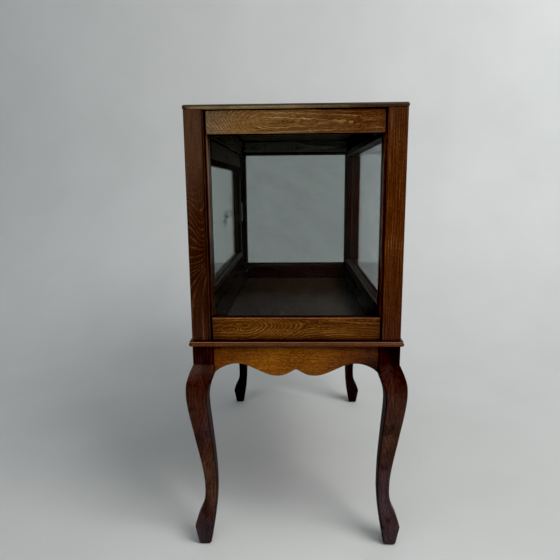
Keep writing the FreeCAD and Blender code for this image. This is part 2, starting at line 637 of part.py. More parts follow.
# ------------------------------------------------------------------- hinges
case_leaves, door_leaves, pins = [], [], []
case_screws, door_screws, case_holes, door_holes = [], [], [], []
case_seats, door_seats = [], []
post_in_y = -side_half                     # inner face of the near post
N = 5
KL = HINGE_H / N
FREE = 0.2
for zc in HINGE_Z:
    z0 = zc - HINGE_H / 2
    cl = box(PIN_X, LEAF_EDGE_X, post_in_y - LEAF_T, post_in_y, z0, z0 + HINGE_H)
    dl = box(PIN_X, LEAF_EDGE_X, DY0, DY0 + LEAF_T, z0, z0 + HINGE_H)
    case_seats.append(box(PIN_X + 2, LEAF_EDGE_X, post_in_y - LEAF_T, post_in_y + 1, z0, z0 + HINGE_H))
    door_seats.append(box(DOOR_X_OUT - 1, LEAF_EDGE_X, DY0 - 1, DY0 + LEAF_T, z0, z0 + HINGE_H))
    ck, dk, ccut, dcut = [], [], [], []
    for k in range(N):
        a, b = z0 + k * KL, z0 + (k + 1) * KL
        if k % 2 == 0:
            ck.append(Part.makeCylinder(KNUCKLE_R, KL - FREE, V(PIN_X, PIN_Y, a + FREE / 2), V(0, 0, 1)))
            dcut.append(box(PIN_X - 5, PIN_X + 3.7, DY0 - 1, DY0 + LEAF_T + 1, a - FREE / 2, b + FREE / 2))
        else:
            dk.append(Part.makeCylinder(KNUCKLE_R, KL - FREE, V(PIN_X, PIN_Y, a + FREE / 2), V(0, 0, 1)))
            ccut.append(box(PIN_X - 5, PIN_X + 3.7, post_in_y - LEAF_T - 1, post_in_y + 1, a - FREE / 2, b + FREE / 2))
    bore_c = Part.makeCylinder(PIN_R, HINGE_H + 4, V(PIN_X, PIN_Y, z0 - 2), V(0, 0, 1))
    bore_d = Part.makeCylinder(PIN_R + 0.05, HINGE_H + 4, V(PIN_X, PIN_Y, z0 - 2), V(0, 0, 1))
    # the leaf ends are trimmed to the knuckle spans so that nothing rubs
    cl = fuse([cl.cut(ccut)] + ck).cut(bore_c)
    dl = fuse([dl.cut(dcut)] + dk).cut(bore_d)
    pin = Part.makeCylinder(PIN_R, HINGE_H + 1.0, V(PIN_X, PIN_Y, z0 - 0.5), V(0, 0, 1))
    caps = [Part.makeCone(2.4, 1.5, 1.6, V(PIN_X, PIN_Y, z0 + HINGE_H + 0.4), V(0, 0, 1)),
            Part.makeCone(2.4, 1.5, 1.6, V(PIN_X, PIN_Y, z0 - 0.4), V(0, 0, -1))]
    pins.append(fuse([pin] + caps))
    for i, dz in enumerate((-17.0, 0.0, 17.0)):
        x = -167.5 if i % 2 == 0 else -164.5
        p = V(x, post_in_y, zc + dz)
        case_screws.append(screw(p, V(0, -1, 0), 16.0, 1.3, 2.5, V(1, 0, 0.4 - 0.5 * i)))
        case_holes.append(screw_hole(p, V(0, -1, 0), 16.0, 1.3, 2.5))
        q = V(x, DY0, zc + dz)
        door_screws.append(screw(q, V(0, 1, 0), 16.0, 1.3, 2.5, V(1, 0, -0.3 + 0.4 * i)))
        door_holes.append(screw_hole(q, V(0, 1, 0), 16.0, 1.3, 2.5))
    case_leaves.append(cl.cut(case_holes[-3:]))
    door_leaves.append(dl.cut(door_holes[-3:]))
save("hinge_leaves_case", group(case_leaves))
save("hinge_leaves_door", group(door_leaves))
save("hinge_pins", group(pins))
save("hinge_screws_case", group(case_screws))
save("hinge_screws_door", group(door_screws))
post_nl = post_nl.cut(case_seats + case_holes)
save("door_stile_near", stile_near.cut(door_seats + door_holes))

# --------------------------------------------------------------------- lock
LX_IN = DOOR_X_IN                          # lock plate flush with the door's back
PLATE_T = 1.5
BODY_X = LX_IN - 10.0
BY0, BY1 = 262.0, DY1
BZ0, BZ1 = 581.0, 612.0
WALL = 1.2
plate = box(LX_IN - PLATE_T, LX_IN, 257.0, DY1, 571.0, 622.0)
body = box(BODY_X, LX_IN - PLATE_T, BY0, BY1, BZ0, BZ1)
cavity = box(BODY_X + WALL, LX_IN - PLATE_T, BY0 + WALL, BY1 - WALL, BZ0 + WALL, BZ1 - WALL)
BOLT = (LX_IN - 7.7, LX_IN - 2.9, 265.0, DY1 - 0.2, 600.6, 608.6)
bolt_slot = box(BOLT[0] - 0.15, BOLT[1] + 0.15, BY1 - WALL - 1, BY1 + 1, BOLT[4] - 0.15, BOLT[5] + 0.15)
KEY_R = 1.9


def keyhole(x0, x1, r, w, drop):
    c = Part.makeCylinder(r, x1 - x0, V(x0, KEY_Y, KEY_Z), V(1, 0, 0))
    return c.fuse(box(x0, x1, KEY_Y - w / 2, KEY_Y + w / 2, KEY_Z - drop, KEY_Z)).removeSplitter()


lock_screw_at = [(262.0, 575.5), (285.5, 575.5), (262.0, 617.5), (285.5, 617.5)]
lock_screws = [screw(V(LX_IN, y, z), V(-1, 0, 0), 13.0, 1.2, 2.3, V(0, 1, 0.5)) for y, z in lock_screw_at]
lock_holes = [screw_hole(V(LX_IN, y, z), V(-1, 0, 0), 13.0, 1.2, 2.3) for y, z in lock_screw_at]
lock = fuse([plate, body.cut(cavity)]).cut([bolt_slot, keyhole(BODY_X - 1, BODY_X + WALL + 0.5, KEY_R + 0.08, 2.6, 7.4)] + lock_holes)
save("lock_case", lock)
save("lock_screws", group(lock_screws))

# bolt: square-nosed bar with a stepped tail
bolt = box(*BOLT)
bolt = bolt.cut(box(BOLT[0] - 1, BOLT[1] + 1, 268.0, 276.0, BOLT[4] - 1, BOLT[4] + 1.6))
save("lock_bolt", bolt)

# key: oval bow, collar, round shank and flat bit
BOW_X, BOW_A, BOW_B = -189.4, 7.8, 11.0    # middle of the bow, half length, half height


def oval(a, b, t):
    e = Part.Ellipse(V(0, 0, 0), b, a).toShape()
    s = Part.Face(Part.Wire([e])).extrude(V(0, 0, t))
    s.translate(V(0, 0, -t / 2))
    s.rotate(V(0, 0, 0), V(0, 1, 0), 90)       # long way upright
    s.rotate(V(0, 0, 0), V(0, 0, 1), 90)       # thickness along Y
    s.translate(V(BOW_X, KEY_Y, KEY_Z))
    return s


shank = Part.makeCylinder(KEY_R, LX_IN - PLATE_T + 184.0, V(-184.0, KEY_Y, KEY_Z), V(1, 0, 0))
collar = Part.makeCylinder(3.1, 1.8, V(-182.2, KEY_Y, KEY_Z), V(1, 0, 0))
bow = oval(BOW_A, BOW_B, 3.2)
bow = ease(bow, [e for e in bow.Edges if len(e.Vertexes) == 1], 1.0)
bow = bow.cut(oval(BOW_A - 3.2, BOW_B - 3.4, 8.0))
bit = box(LX_IN - 8.1, LX_IN - 2.7, KEY_Y - 0.9, KEY_Y + 0.9, KEY_Z - 6.8, KEY_Z - 0.5)
bit = bit.cut(box(LX_IN - 6.1, LX_IN - 4.9, KEY_Y - 2, KEY_Y + 2, KEY_Z - 7.5, KEY_Z - 4.4))
save("door_key", fuse([shank, collar, bow, bit]))

# escutcheon with two small round-headed pins
ell = Part.Ellipse(V(0, 0, 0), 18.0, 11.0).toShape()
esc = Part.Face(Part.Wire([ell])).extrude(V(0, 0, 1.1))
esc.rotate(V(0, 0, 0), V(0, 1, 0), -90)    # long axis upright, thickness towards -X
esc.translate(V(DOOR_X_OUT, KEY_Y, KEY_Z - 2.5))
esc_pins, esc_holes = [], []
for dz in (-14.0, 14.0):
    p = V(DOOR_X_OUT - 1.1, KEY_Y, KEY_Z - 2.5 + dz)
    sh = Part.makeCylinder(0.7, 9.0, p - V(0.2, 0, 0), V(1, 0, 0))
    hd = Part.makeSphere(1.7, p + V(0.9, 0, 0)).common(box(p.x - 3, p.x, p.y - 3, p.y + 3, p.z - 3, p.z + 3))
    esc_pins.append(fuse([sh, hd]))
    esc_holes.append(Part.makeCylinder(0.74, 9.6, p - V(0.5, 0, 0), V(1, 0, 0)))
esc = esc.cut([keyhole(DOOR_X_OUT - 3, DOOR_X_OUT + 1, KEY_R + 0.35, 2.8, 7.6)] + esc_holes)
save("escutcheon", esc)
save("escutcheon_pins", group(esc_pins))
stile_far = stile_far.cut([
    box(LX_IN - PLATE_T, LX_IN + 1, 257.0, DY1 + 1, 571.0, 622.0),
    box(BODY_X, LX_IN, BY0, BY1 + 1, BZ0, BZ1),
    keyhole(DOOR_X_OUT - 1, BODY_X + 1, KEY_R + 0.5, 3.0, 7.8),
] + lock_holes + esc_holes)
save("door_stile_far", stile_far)

# strike plate on the far left post
SY = side_half
ST = 1.2
strike = box(LX_IN - 12.5, LX_IN - 0.9, SY, SY + ST, 586.5, 622.5)
strike = ease(strike, line_edges(strike, "y", lambda m: True), 2.5)
slot = box(LX_IN - 8.5, LX_IN - 2.1, SY - 1, SY + ST + 1, 599.8, 609.4)
strike_screw_at = [V(LX_IN - 6.7, SY, 591.5), V(LX_IN - 6.7, SY, 617.5)]
strike_screws = [screw(p, V(0, 1, 0), 12.0, 1.2, 2.3, V(1, 0, 0.6)) for p in strike_screw_at]
strike_holes = [screw_hole(p, V(0, 1, 0), 12.0, 1.2, 2.3) for p in strike_screw_at]
strike_seat = box(LX_IN - 12.5, LX_IN - 0.9, SY - 1, SY + ST, 586.5, 622.5)
strike_seat = ease(strike_seat, line_edges(strike_seat, "y", lambda m: True), 2.5)
save("strike_plate", strike.cut([slot] + strike_holes))
save("strike_screws", group(strike_screws))
post_fl = post_fl.cut([strike_seat, box(LX_IN - 8.5, LX_IN - 2.1, SY - 1, SY + ST + 9.0, 599.8, 609.4)] + strike_holes)

save("post_near_left", post_nl)
save("post_near_right", post_nr)
save("post_far_left", post_fl)
save("post_far_right", post_fr)

# --------------------------------------------------------------- door stops
SX0, SX1 = -HALF_W + POST, -HALF_W + POST + 8.0
stops, stop_screws, stop_holes = [], [], []
for z0, z1, zs, a, b in ((TOP_RAIL_Z - 9.0, TOP_RAIL_Z + 20.0, TOP_RAIL_Z + 10.0, TOP_RAIL_Z - 9.0, TOP_RAIL_Z - 0.3),
                         (LOW_RAIL_Z - 20.0, LOW_RAIL_Z + 9.0, LOW_RAIL_Z - 10.0, LOW_RAIL_Z + 0.3, LOW_RAIL_Z + 9.0)):
    s = box(SX0, SX1, 222.0, 272.0, z0, z1)
    s = ease(s, line_edges(s, "x", lambda m: True), 2.0)
    # lug that reaches across the rail's edge to the door's back
    s = fuse([s, box(DOOR_X_IN + 0.5, SX0 + 1.0, 226.0, 268.0, a, b)])
    hs = []
    for y in (234.0, 260.0):
        p = V(SX1, y, zs)
        stop_screws.append(screw(p, V(-1, 0, 0), 22.0, 1.5, 3.0, V(0, 1, 0.4)))
        hs.append(screw_hole(p, V(-1, 0, 0), 22.0, 1.5, 3.0))
    stop_holes += hs
    stops.append(s.cut(hs))
save("door_stops", group(stops))
save("door_stop_screws", group(stop_screws))
save("side_rail_top_left", side_top_left.cut(top_dowel_holes + stop_holes))
save("side_rail_low_left", side_low_left.cut(stop_holes))
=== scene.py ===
import math

import bpy
from mathutils import Matrix, Vector

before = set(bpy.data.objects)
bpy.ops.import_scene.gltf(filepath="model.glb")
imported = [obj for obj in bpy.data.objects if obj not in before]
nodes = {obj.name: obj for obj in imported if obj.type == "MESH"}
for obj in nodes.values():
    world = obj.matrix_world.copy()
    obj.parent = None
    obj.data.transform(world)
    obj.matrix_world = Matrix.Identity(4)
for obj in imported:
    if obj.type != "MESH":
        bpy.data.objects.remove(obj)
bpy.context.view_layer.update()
scene = bpy.context.scene


# ------------------------------------------------------------------ node tool
class Graph:
    """Short hand for building a material's node tree."""

    def __init__(self, name):
        self.mat = bpy.data.materials.new(name)
        self.mat.use_nodes = True
        self.tree = self.mat.node_tree
        self.tree.nodes.clear()
        self.out = self.tree.nodes.new("ShaderNodeOutputMaterial")

    def node(self, kind, **props):
        n = self.tree.nodes.new(kind)
        for k, v in props.items():
            setattr(n, k, v)
        return n

    def put(self, socket, value):
        if isinstance(value, bpy.types.NodeSocket):
            self.tree.links.new(value, socket)
        elif value is not None:
            if isinstance(value, (tuple, list)) and socket.type == "RGBA" and len(value) == 3:
                value = (*value, 1.0)
            socket.default_value = value

    def math(self, op, a, b=None, c=None, clamp=False):
        n = self.node("ShaderNodeMath", operation=op, use_clamp=clamp)
        self.put(n.inputs[0], a)
        if b is not None:
            self.put(n.inputs[1], b)
        if c is not None:
            self.put(n.inputs[2], c)
        return n.outputs[0]

    def add(self, a, b):
        return self.math("ADD", a, b)

    def sub(self, a, b):
        return self.math("SUBTRACT", a, b)

    def mul(self, a, b):
        return self.math("MULTIPLY", a, b)

    def madd(self, a, b, c):
        return self.math("MULTIPLY_ADD", a, b, c)

    def smooth(self, value, lo, hi, to_lo=0.0, to_hi=1.0):
        n = self.node("ShaderNodeMapRange", interpolation_type="SMOOTHSTEP")
        self.put(n.inputs["Value"], value)
        n.inputs["From Min"].default_value = lo
        n.inputs["From Max"].default_value = hi
        n.inputs["To Min"].default_value = to_lo
        n.inputs["To Max"].default_value = to_hi
        return n.outputs[0]

    def linear(self, value, lo, hi, to_lo=0.0, to_hi=1.0):
        n = self.node("ShaderNodeMapRange", interpolation_type="LINEAR", clamp=True)
        self.put(n.inputs["Value"], value)
        n.inputs["From Min"].default_value = lo
        n.inputs["From Max"].default_value = hi
        n.inputs["To Min"].default_value = to_lo
        n.inputs["To Max"].default_value = to_hi
        return n.outputs[0]

    def vec(self, x, y, z):
        n = self.node("ShaderNodeCombineXYZ")
        self.put(n.inputs[0], x)
        self.put(n.inputs[1], y)
        self.put(n.inputs[2], z)
        return n.outputs[0]

    def noise(self, vector, scale=1.0, detail=2.0, rough=0.5, distort=0.0):
        n = self.node("ShaderNodeTexNoise", noise_dimensions="3D")
        self.put(n.inputs["Vector"], vector)
        n.inputs["Scale"].default_value = scale
        n.inputs["Detail"].default_value = detail
        n.inputs["Roughness"].default_value = rough
        n.inputs["Distortion"].default_value = distort
        return n.outputs["Fac"], n.outputs["Color"]

    def ramp(self, value, stops, ease="LINEAR"):
        n = self.node("ShaderNodeValToRGB")
        r = n.color_ramp
        r.interpolation = ease
        while len(r.elements) > 1:
            r.elements.remove(r.elements[-1])
        for i, (pos, col) in enumerate(stops):
            e = r.elements[0] if i == 0 else r.elements.new(pos)
            e.position = pos
            if not isinstance(col, (tuple, list)):
                col = (col, col, col)
            e.color = (*col, 1.0)
        self.put(n.inputs[0], value)
        return n.outputs[0]

    def mix(self, fac, a, b, blend="MIX"):
        n = self.node("ShaderNodeMix", data_type="RGBA", blend_type=blend, clamp_factor=True)
        self.put(n.inputs[0], fac)
        self.put(n.inputs[6], a)
        self.put(n.inputs[7], b)
        return n.outputs[2]

    def position(self):
        """Place on the piece in millimetres, split into X, Y and Z."""
        tc = self.node("ShaderNodeTexCoord")
        s = self.node("ShaderNodeVectorMath", operation="SCALE")
        self.put(s.inputs[0], tc.outputs["Object"])
        s.inputs["Scale"].default_value = 1000.0
        x = self.node("ShaderNodeSeparateXYZ")
        self.put(x.inputs[0], s.outputs[0])
        return x.outputs[0], x.outputs[1], x.outputs[2]

    def finish(self, shader):
        self.tree.links.new(shader, self.out.inputs["Surface"])
        return self.mat


def lin(r, g, b):
    """Colour given as 0-255 display values."""
    out = []
    for v in (r, g, b):
        v /= 255.0
        out.append(v / 12.92 if v <= 0.04045 else ((v + 0.055) / 1.055) ** 2.4)
    return tuple(out)


def edge_mask(g, radius):
    """One along arrises, nought on the flats, from rounded against true normal."""
    bv = g.node("ShaderNodeBevel", samples=4)
    bv.inputs["Radius"].default_value = radius
    geo = g.node("ShaderNodeNewGeometry")
    d = g.node("ShaderNodeVectorMath", operation="DOT_PRODUCT")
    g.put(d.inputs[0], bv.outputs[0])
    g.put(d.inputs[1], geo.outputs["Normal"])
    return g.smooth(d.outputs["Value"], 0.995, 0.80), bv.outputs[0]


def facing(g, true=False):
    """The surface's own direction, as X, Y and Z."""
    geo = g.node("ShaderNodeNewGeometry")
    n = g.node("ShaderNodeVectorTransform", vector_type="NORMAL", convert_from="WORLD", convert_to="OBJECT")
    g.put(n.inputs[0], geo.outputs["True Normal" if true else "Normal"])
    x = g.node("ShaderNodeSeparateXYZ")
    g.put(x.inputs[0], n.outputs[0])
    return x.outputs[0], x.outputs[1], x.outputs[2]


def corners(g, distance):
    """One deep in corners and quirks, nought in the open; the mask for painted shade there."""
    ao = g.node("ShaderNodeAmbientOcclusion", samples=6)
    ao.inputs["Distance"].default_value = distance
    return g.smooth(ao.outputs["AO"], 0.86, 0.42)


# ----------------------------------------------------------------------- wood
AXES = {"x": (0, 1, 2), "y": (1, 2, 0), "z": (2, 0, 1)}
BROAD = [(0.0, 0.18), (0.25, 0.30), (0.58, 0.62), (0.80, 1.0), (0.92, 0.78), (1.0, 0.18)]
THIN = [(0.0, 0.24), (0.50, 0.36), (0.72, 0.50), (0.85, 1.0), (0.92, 0.84), (1.0, 0.24)]
RUBBED = None


def seen(r, g, b):
    """Stain colour that looks like this display colour under the studio light."""
    return tuple(min(1.0, c / 0.62) for c in lin(r, g, b))


def wood(name, along, tones, seed=0.0, figure="log", heart=(0.0, 0.0), spacing=1.5, flame=0.05, runs=(), tilt=None,
         knots=(), wobble=2.0, curl=0.9, line=0.45, fine=0.30, shape=THIN, fibre=0.35, speck=0.7, blotch=0.30,
         more=(), mask=None, rough=(0.30, 0.46), wear=None, wear_amount=0.55, grime_and_shade=0.85, specular=0.22,
         bump=0.35, sticks=None, inside=True, shade_within=None, round_edges=True, leg=None, under=None, inner=None, matt=None, dusty=None):
    """Stained and rubbed timber.

    along    axis of the grain
    tones    dark, middle, light and bright line of the figure
    heart    the log's heart, in the two directions across the grain (mm)
    spacing  ring distance (mm); flame closes the rings into arches along the grain
    runs     (from, to, rate): a stretch along the grain where the log tapers fast, so
             that the rings close into pointed arches there
    tilt     (from, to, a, b): the heart's height changes by a to b along the grain
    knots    (along, up, half length, half height, depth): eyes in the figure
    wobble   slow wander of the rings (mm); curl a short ripple (mm)
    line     strength of the rings, fine of the closer lines between them
    more     further tones: (tones, axis, from, to), taking over between these places,
             with a second axis, from and to where both have to hold
    mask     (axis, from, to): the lines fade in between these
    sticks   (axis, limit): beyond it the grain of a made-up frame runs upright
    shade_within (axis, limit): nearer to the middle than this the wood is unpolished and painted dark as shade
    under    colour of painted shade on the faces that are turned down
    leg      (from, to, strength, top, dust): stretch of a leg's height where the polish
             is rubbed, the height below which a purple-grey of scuffing and painted floor reflection takes over, the
             dust with painted sheen on slopes, and painted shade on the faces turned in
    inner    tones of painted shade for the faces that are turned to the inside of the case; some pieces take lighter painted sheen tones here
    matt     (axis, from, to): the polish fades out between these places
    dusty    (axis, from, to): dust, together with painted sheen, lies thicker on the faces inside the case between these
    """
    g = Graph(name)
    pos = g.position()
    nrm = facing(g)
    i, j, k = AXES[along]
    u, v, w = pos[i], pos[j], pos[k]
    if sticks is not None:
        ax, limit = sticks
        up = g.math("GREATER_THAN", g.math("ABSOLUTE", pos[ax]), limit)

        def swap(a, b):
            m = g.node("ShaderNodeMix", data_type="FLOAT")
            g.put(m.inputs[0], up)
            g.put(m.inputs[2], a)
            g.put(m.inputs[3], b)
            return m.outputs[0]
        u, v, w = swap(u, pos[2]), swap(v, pos[0]), swap(w, pos[1])
    s = 37.0 * seed

    # slow wander of the whole figure, and a short ripple along the rings
    slow, slow_col = g.noise(g.vec(g.madd(u, 0.009, s), g.madd(v, 0.028, s * 0.7), g.madd(w, 0.028, 3.1)), 1.0, 2.0, 0.5)
    sc = g.node("ShaderNodeSeparateColor")
    g.put(sc.inputs[0], slow_col)
    rip, _ = g.noise(g.vec(g.madd(u, 0.085, s * 1.3), g.madd(v, 0.15, 1.7), g.madd(w, 0.15, s)), 1.0, 2.0, 0.6)

    if figure == "log":
        a = g.add(g.sub(v, heart[0]), g.madd(sc.outputs[0], 3.0 * wobble, -1.5 * wobble))
        b = g.sub(w, heart[1])
        if tilt is not None:
            b = g.sub(b, g.smooth(u, *tilt))
        rad = g.math("SQRT", g.add(g.mul(a, a), g.mul(b, b)))
        rad = g.madd(u, flame, rad)
        for lo, hi, rate in runs:
            rad = g.add(rad, g.smooth(u, lo, hi, 0.0, rate * (hi - lo)))
        for ku, kw, ru, rw, deep in knots:
            du = g.mul(g.sub(u, ku), 1.0 / ru)
            dw = g.mul(g.sub(w, kw), 1.0 / rw)
            rad = g.madd(g.smooth(g.add(g.mul(du, du), g.mul(dw, dw)), 1.0, 0.0), deep, rad)
        rad = g.add(rad, g.madd(sc.outputs[1], 1.6 * wobble, -0.8 * wobble))
        rad = g.add(rad, g.madd(rip, 2.0 * curl, -curl))
    else:
        # streaks that sweep down across the face to a knot at its edge, and below it
        # fan out from the knot and run down with the grain
        knot_u, knot_v, edge_v = heart
        t = g.mul(g.sub(v, edge_v), 1.0 / 34.0)
        bend = g.smooth(t, -0.05, 0.90, 0.5, -0.5)
        high = g.sub(u, knot_u)
        rise = high
        for _ in range(3):
            drop = g.mul(g.smooth(rise, 4.0, 62.0, 0.0, 44.0), g.smooth(rise, 132.0, 72.0))
            rise = g.sub(high, g.mul(drop, bend))
        rise = g.math("SMOOTH_MAX", rise, 0.0, 8.0)
        deep = g.math("SMOOTH_MAX", g.math("SMOOTH_MIN", g.sub(knot_u, u), 62.0, 40.0), 2.0, 5.0)
        fan = g.math("ARCTAN2", g.sub(knot_v, v), deep)
        rad = g.madd(fan, 58.0, rise)
        rad = g.add(rad, g.madd(sc.outputs[0], 4.0 * wobble, -2.0 * wobble))
        rad = g.add(rad, g.madd(rip, 2.0 * curl, -curl))
    phase = g.math("DIVIDE", rad, spacing)
    uneven, _ = g.noise(g.vec(g.mul(phase, 0.41), s, 0.5), 1.0, 1.0, 0.5)
    phase = g.madd(uneven, 1.5, phase)
    ring = g.ramp(g.math("FRACT", phase), shape)
    ring2 = g.ramp(g.math("FRACT", g.madd(rip, 0.5, g.mul(phase, 3.17))), BROAD)
    come, _ = g.noise(g.vec(g.madd(u, 0.020, s), g.madd(v, 0.07, 5.0), g.madd(w, 0.07, s)), 1.0, 2.0, 0.55)
    come = g.smooth(come, 0.34, 0.62, 0.25, 1.0)
    if mask is not None:
        come = g.mul(come, g.linear(pos[mask[0]], mask[1], mask[2], 0.08, 1.0))
    if figure == "sweep":
        come = g.mul(come, g.smooth(g.math("ABSOLUTE", nrm[0]), 0.8, 0.5, 0.1, 1.0))

    # fibres, short flecks and open pores
    fib, _ = g.noise(g.vec(g.madd(u, 0.020, s), g.mul(v, 0.50), g.mul(w, 0.50)), 1.0, 3.0, 0.6)
    fleck, _ = g.noise(g.vec(g.madd(u, 0.24, s), g.mul(v, 0.80), g.mul(w, 0.80)), 1.0, 2.0, 0.6)
    pore, _ = g.noise(g.vec(g.madd(u, 0.11, s), g.mul(v, 2.3), g.mul(w, 2.3)), 1.0, 2.0, 0.5)
    pores = g.smooth(pore, 0.60, 0.74)
    blot, _ = g.noise(g.vec(g.madd(u, 0.010, s * 0.3), g.madd(v, 0.028, s), g.madd(w, 0.028, 9.0)), 1.0, 3.0, 0.55)

    val = g.madd(g.sub(ring, 0.44), g.mul(come, line), 0.44)
    val = g.madd(g.sub(ring2, 0.48), g.mul(come, fine), val)
    val = g.madd(g.sub(fib, 0.5), fibre * 1.5, val)
    val = g.madd(g.sub(fleck, 0.5), speck * 1.5, val)
    val = g.madd(g.sub(blot, 0.5), blotch * 1.6, val)
    val = g.madd(pores, -0.12, val)

    def tone(t):
        return g.ramp(val, [(0.02, t[0]), (0.42, t[1]), (0.74, t[2]), (1.0, t[3])])

    col = tone(tones)
    for t, ax, lo, hi, *also in more:
        where = g.linear(pos[ax], lo, hi)
        if abs(hi - lo) > 10.0:
            where = g.math("ADD", where, g.madd(slow, 0.8, -0.4), clamp=True)
        if also:
            where = g.mul(where, g.linear(pos[also[0]], also[1], also[2]))
        col = g.mix(where, col, tone(t))

    if leg:
        # patches of worn and darkened polish; towards the foot a purple-grey that is scuffing together with painted
        # reflection of the floor;
        # old dust on upward slopes together with painted sheen there; and painted shade on the faces turned under the
        # table
        patch, patch_col = g.noise(g.vec(g.madd(pos[0], 0.030, s), g.mul(pos[1], 0.030), g.madd(pos[2], 0.016, s)), 1.0, 3.0, 0.6)
        pc = g.node("ShaderNodeSeparateColor")
        g.put(pc.inputs[0], patch_col)
        zone = g.mul(g.smooth(g.madd(pc.outputs[1], 60.0, pos[2]), leg[0], leg[0] + 50.0), g.smooth(g.madd(pc.outputs[2], -60.0, pos[2]), leg[1], leg[1] - 50.0))
        olive = g.madd(g.smooth(pc.outputs[0], 0.50, 0.66), 0.25, g.mul(zone, leg[2]))
        col = g.mix(olive, col, g.ramp(val, [(0.1, seen(38, 22, 13)), (0.5, seen(75, 48, 33)), (0.95, seen(102, 74, 54))]))
        # purple-grey: random patches, and towards the foot scuffing together with painted reflection of the pale floor
        plum_and_floor_sheen = g.mul(g.math("ADD", g.smooth(pc.outputs[1], 0.50, 0.66), g.linear(pos[2], leg[3], leg[3] - 60.0, 0.0, 0.95), clamp=True), g.linear(pos[2], 300.0, 80.0, 0.25, 0.9))
        plum_and_floor_sheen = g.mul(plum_and_floor_sheen, g.madd(zone, -leg[2], 1.0))
        col = g.mix(plum_and_floor_sheen, col, g.ramp(val, [(0.1, seen(22, 12, 15)), (0.5, seen(48, 36, 39)), (0.95, seen(68, 56, 60))]))
        dark = g.smooth(pc.outputs[2], 0.46, 0.36, 0.0, 0.7)
        col = g.mix(dark, col, g.ramp(val, [(0.1, seen(10, 3, 2)), (0.6, seen(28, 11, 7)), (0.95, seen(48, 24, 16))]))
        # dust on upward slopes, which also serves as painted sheen where the slopes face the overhead light
        dust = g.mul(g.smooth(nrm[2], 0.20, 0.42), g.smooth(nrm[2], 0.95, 0.8))
        dust = g.mul(dust, g.smooth(blot, 0.30, 0.62, 0.25, 1.0))
        dust = g.mul(dust, g.linear(pos[2], 60.0, 250.0, 0.35, 1.0))
        col = g.mix(g.mul(dust, leg[4]), col, g.ramp(fleck, [(0.3, seen(50, 36, 30)), (0.7, seen(80, 64, 55))]))
        # painted shade: faces turned towards the middle, under the table, are darkened
        sx = g.mul(nrm[0], g.math("SIGN", pos[0]))
        sy = g.mul(nrm[1], g.math("SIGN", pos[1]))
        turned = g.smooth(g.math("MINIMUM", sx, sy), -0.35, -0.75)
        turned = g.mul(turned, g.smooth(nrm[2], 0.6, 0.4))
        col = g.mix(g.mul(turned, 0.85), col, g.ramp(val, [(0.1, seen(9, 3, 4)), (0.5, seen(22, 11, 12)), (0.95, seen(38, 24, 25))]))

    unpolished_shade = None
    if inside:
        # the inside of the case is unpolished, and its colour is painted much darker as shade
        d = g.math("MAXIMUM", g.sub(g.math("ABSOLUTE", pos[0]), 161.2), g.sub(g.math("ABSOLUTE", pos[1]), 305.7))
        d = g.math("MAXIMUM", d, g.math("MAXIMUM", g.sub(pos[2], 794.4), g.sub(400.6, pos[2])))
        unpolished_shade = g.smooth(d, 0.4, 0.1)
        if shade_within is not None:
            unpolished_shade = g.math("MAXIMUM", unpolished_shade, g.smooth(g.math("ABSOLUTE", pos[shade_within[0]]), shade_within[1] + 0.3, shade_within[1] - 0.3))
        col = g.mix(unpolished_shade, col, g.ramp(val, [(p, t) for p, t in zip((0.1, 0.5, 0.95), inner or INNER_SHADE)]))
        # dust together with painted sheen: lighter grey spreading across the inside faces towards one end
        if dusty is not None:
            col = g.mix(g.mul(unpolished_shade, g.linear(pos[dusty[0]], dusty[1], dusty[2], 0.0, 0.9)), col, g.ramp(val, [(0.1, DUST_AND_SHEEN[0]), (0.5, DUST_AND_SHEEN[1]), (0.95, DUST_AND_SHEEN[2])]))

    # painted shade on the faces that are turned down
    if under is not None:
        col = g.mix(g.smooth(nrm[2], -0.20, -0.45), col, g.ramp(val, [(0.1, tuple(c * 0.5 for c in under)), (0.9, tuple(c * 1.3 for c in under))]))

    # rubbed arrises, broken up along their length
    edge, soft_normal = edge_mask(g, 0.0012)
    if round_edges:
        flat = g.math("MAXIMUM", g.math("MAXIMUM", g.math("ABSOLUTE", nrm[0]), g.math("ABSOLUTE", nrm[1])), g.math("ABSOLUTE", nrm[2]))
        edge = g.math("MAXIMUM", edge, g.smooth(flat, 0.985, 0.90))
    rub, _ = g.noise(g.vec(g.mul(pos[0], 0.045), g.mul(pos[1], 0.045), g.mul(pos[2], 0.045)), 1.0, 3.0, 0.6)
    rub = g.mul(edge, g.smooth(rub, 0.36, 0.62, 0.35, 1.0))
    if unpolished_shade is not None:
        rub = g.mul(rub, g.madd(unpolished_shade, -0.8, 1.0))
    col = g.mix(g.mul(rub, wear_amount), col, wear or RUBBED)

    # painted shade in corners and quirks, found by an occlusion test, together with dirt and wax gathered there
    dirt_and_shade = g.mul(corners(g, 0.007), grime_and_shade)
    col = g.mix(dirt_and_shade, col, g.ramp(fleck, [(0.3, lin(9, 3, 2)), (0.7, lin(24, 10, 6))]))

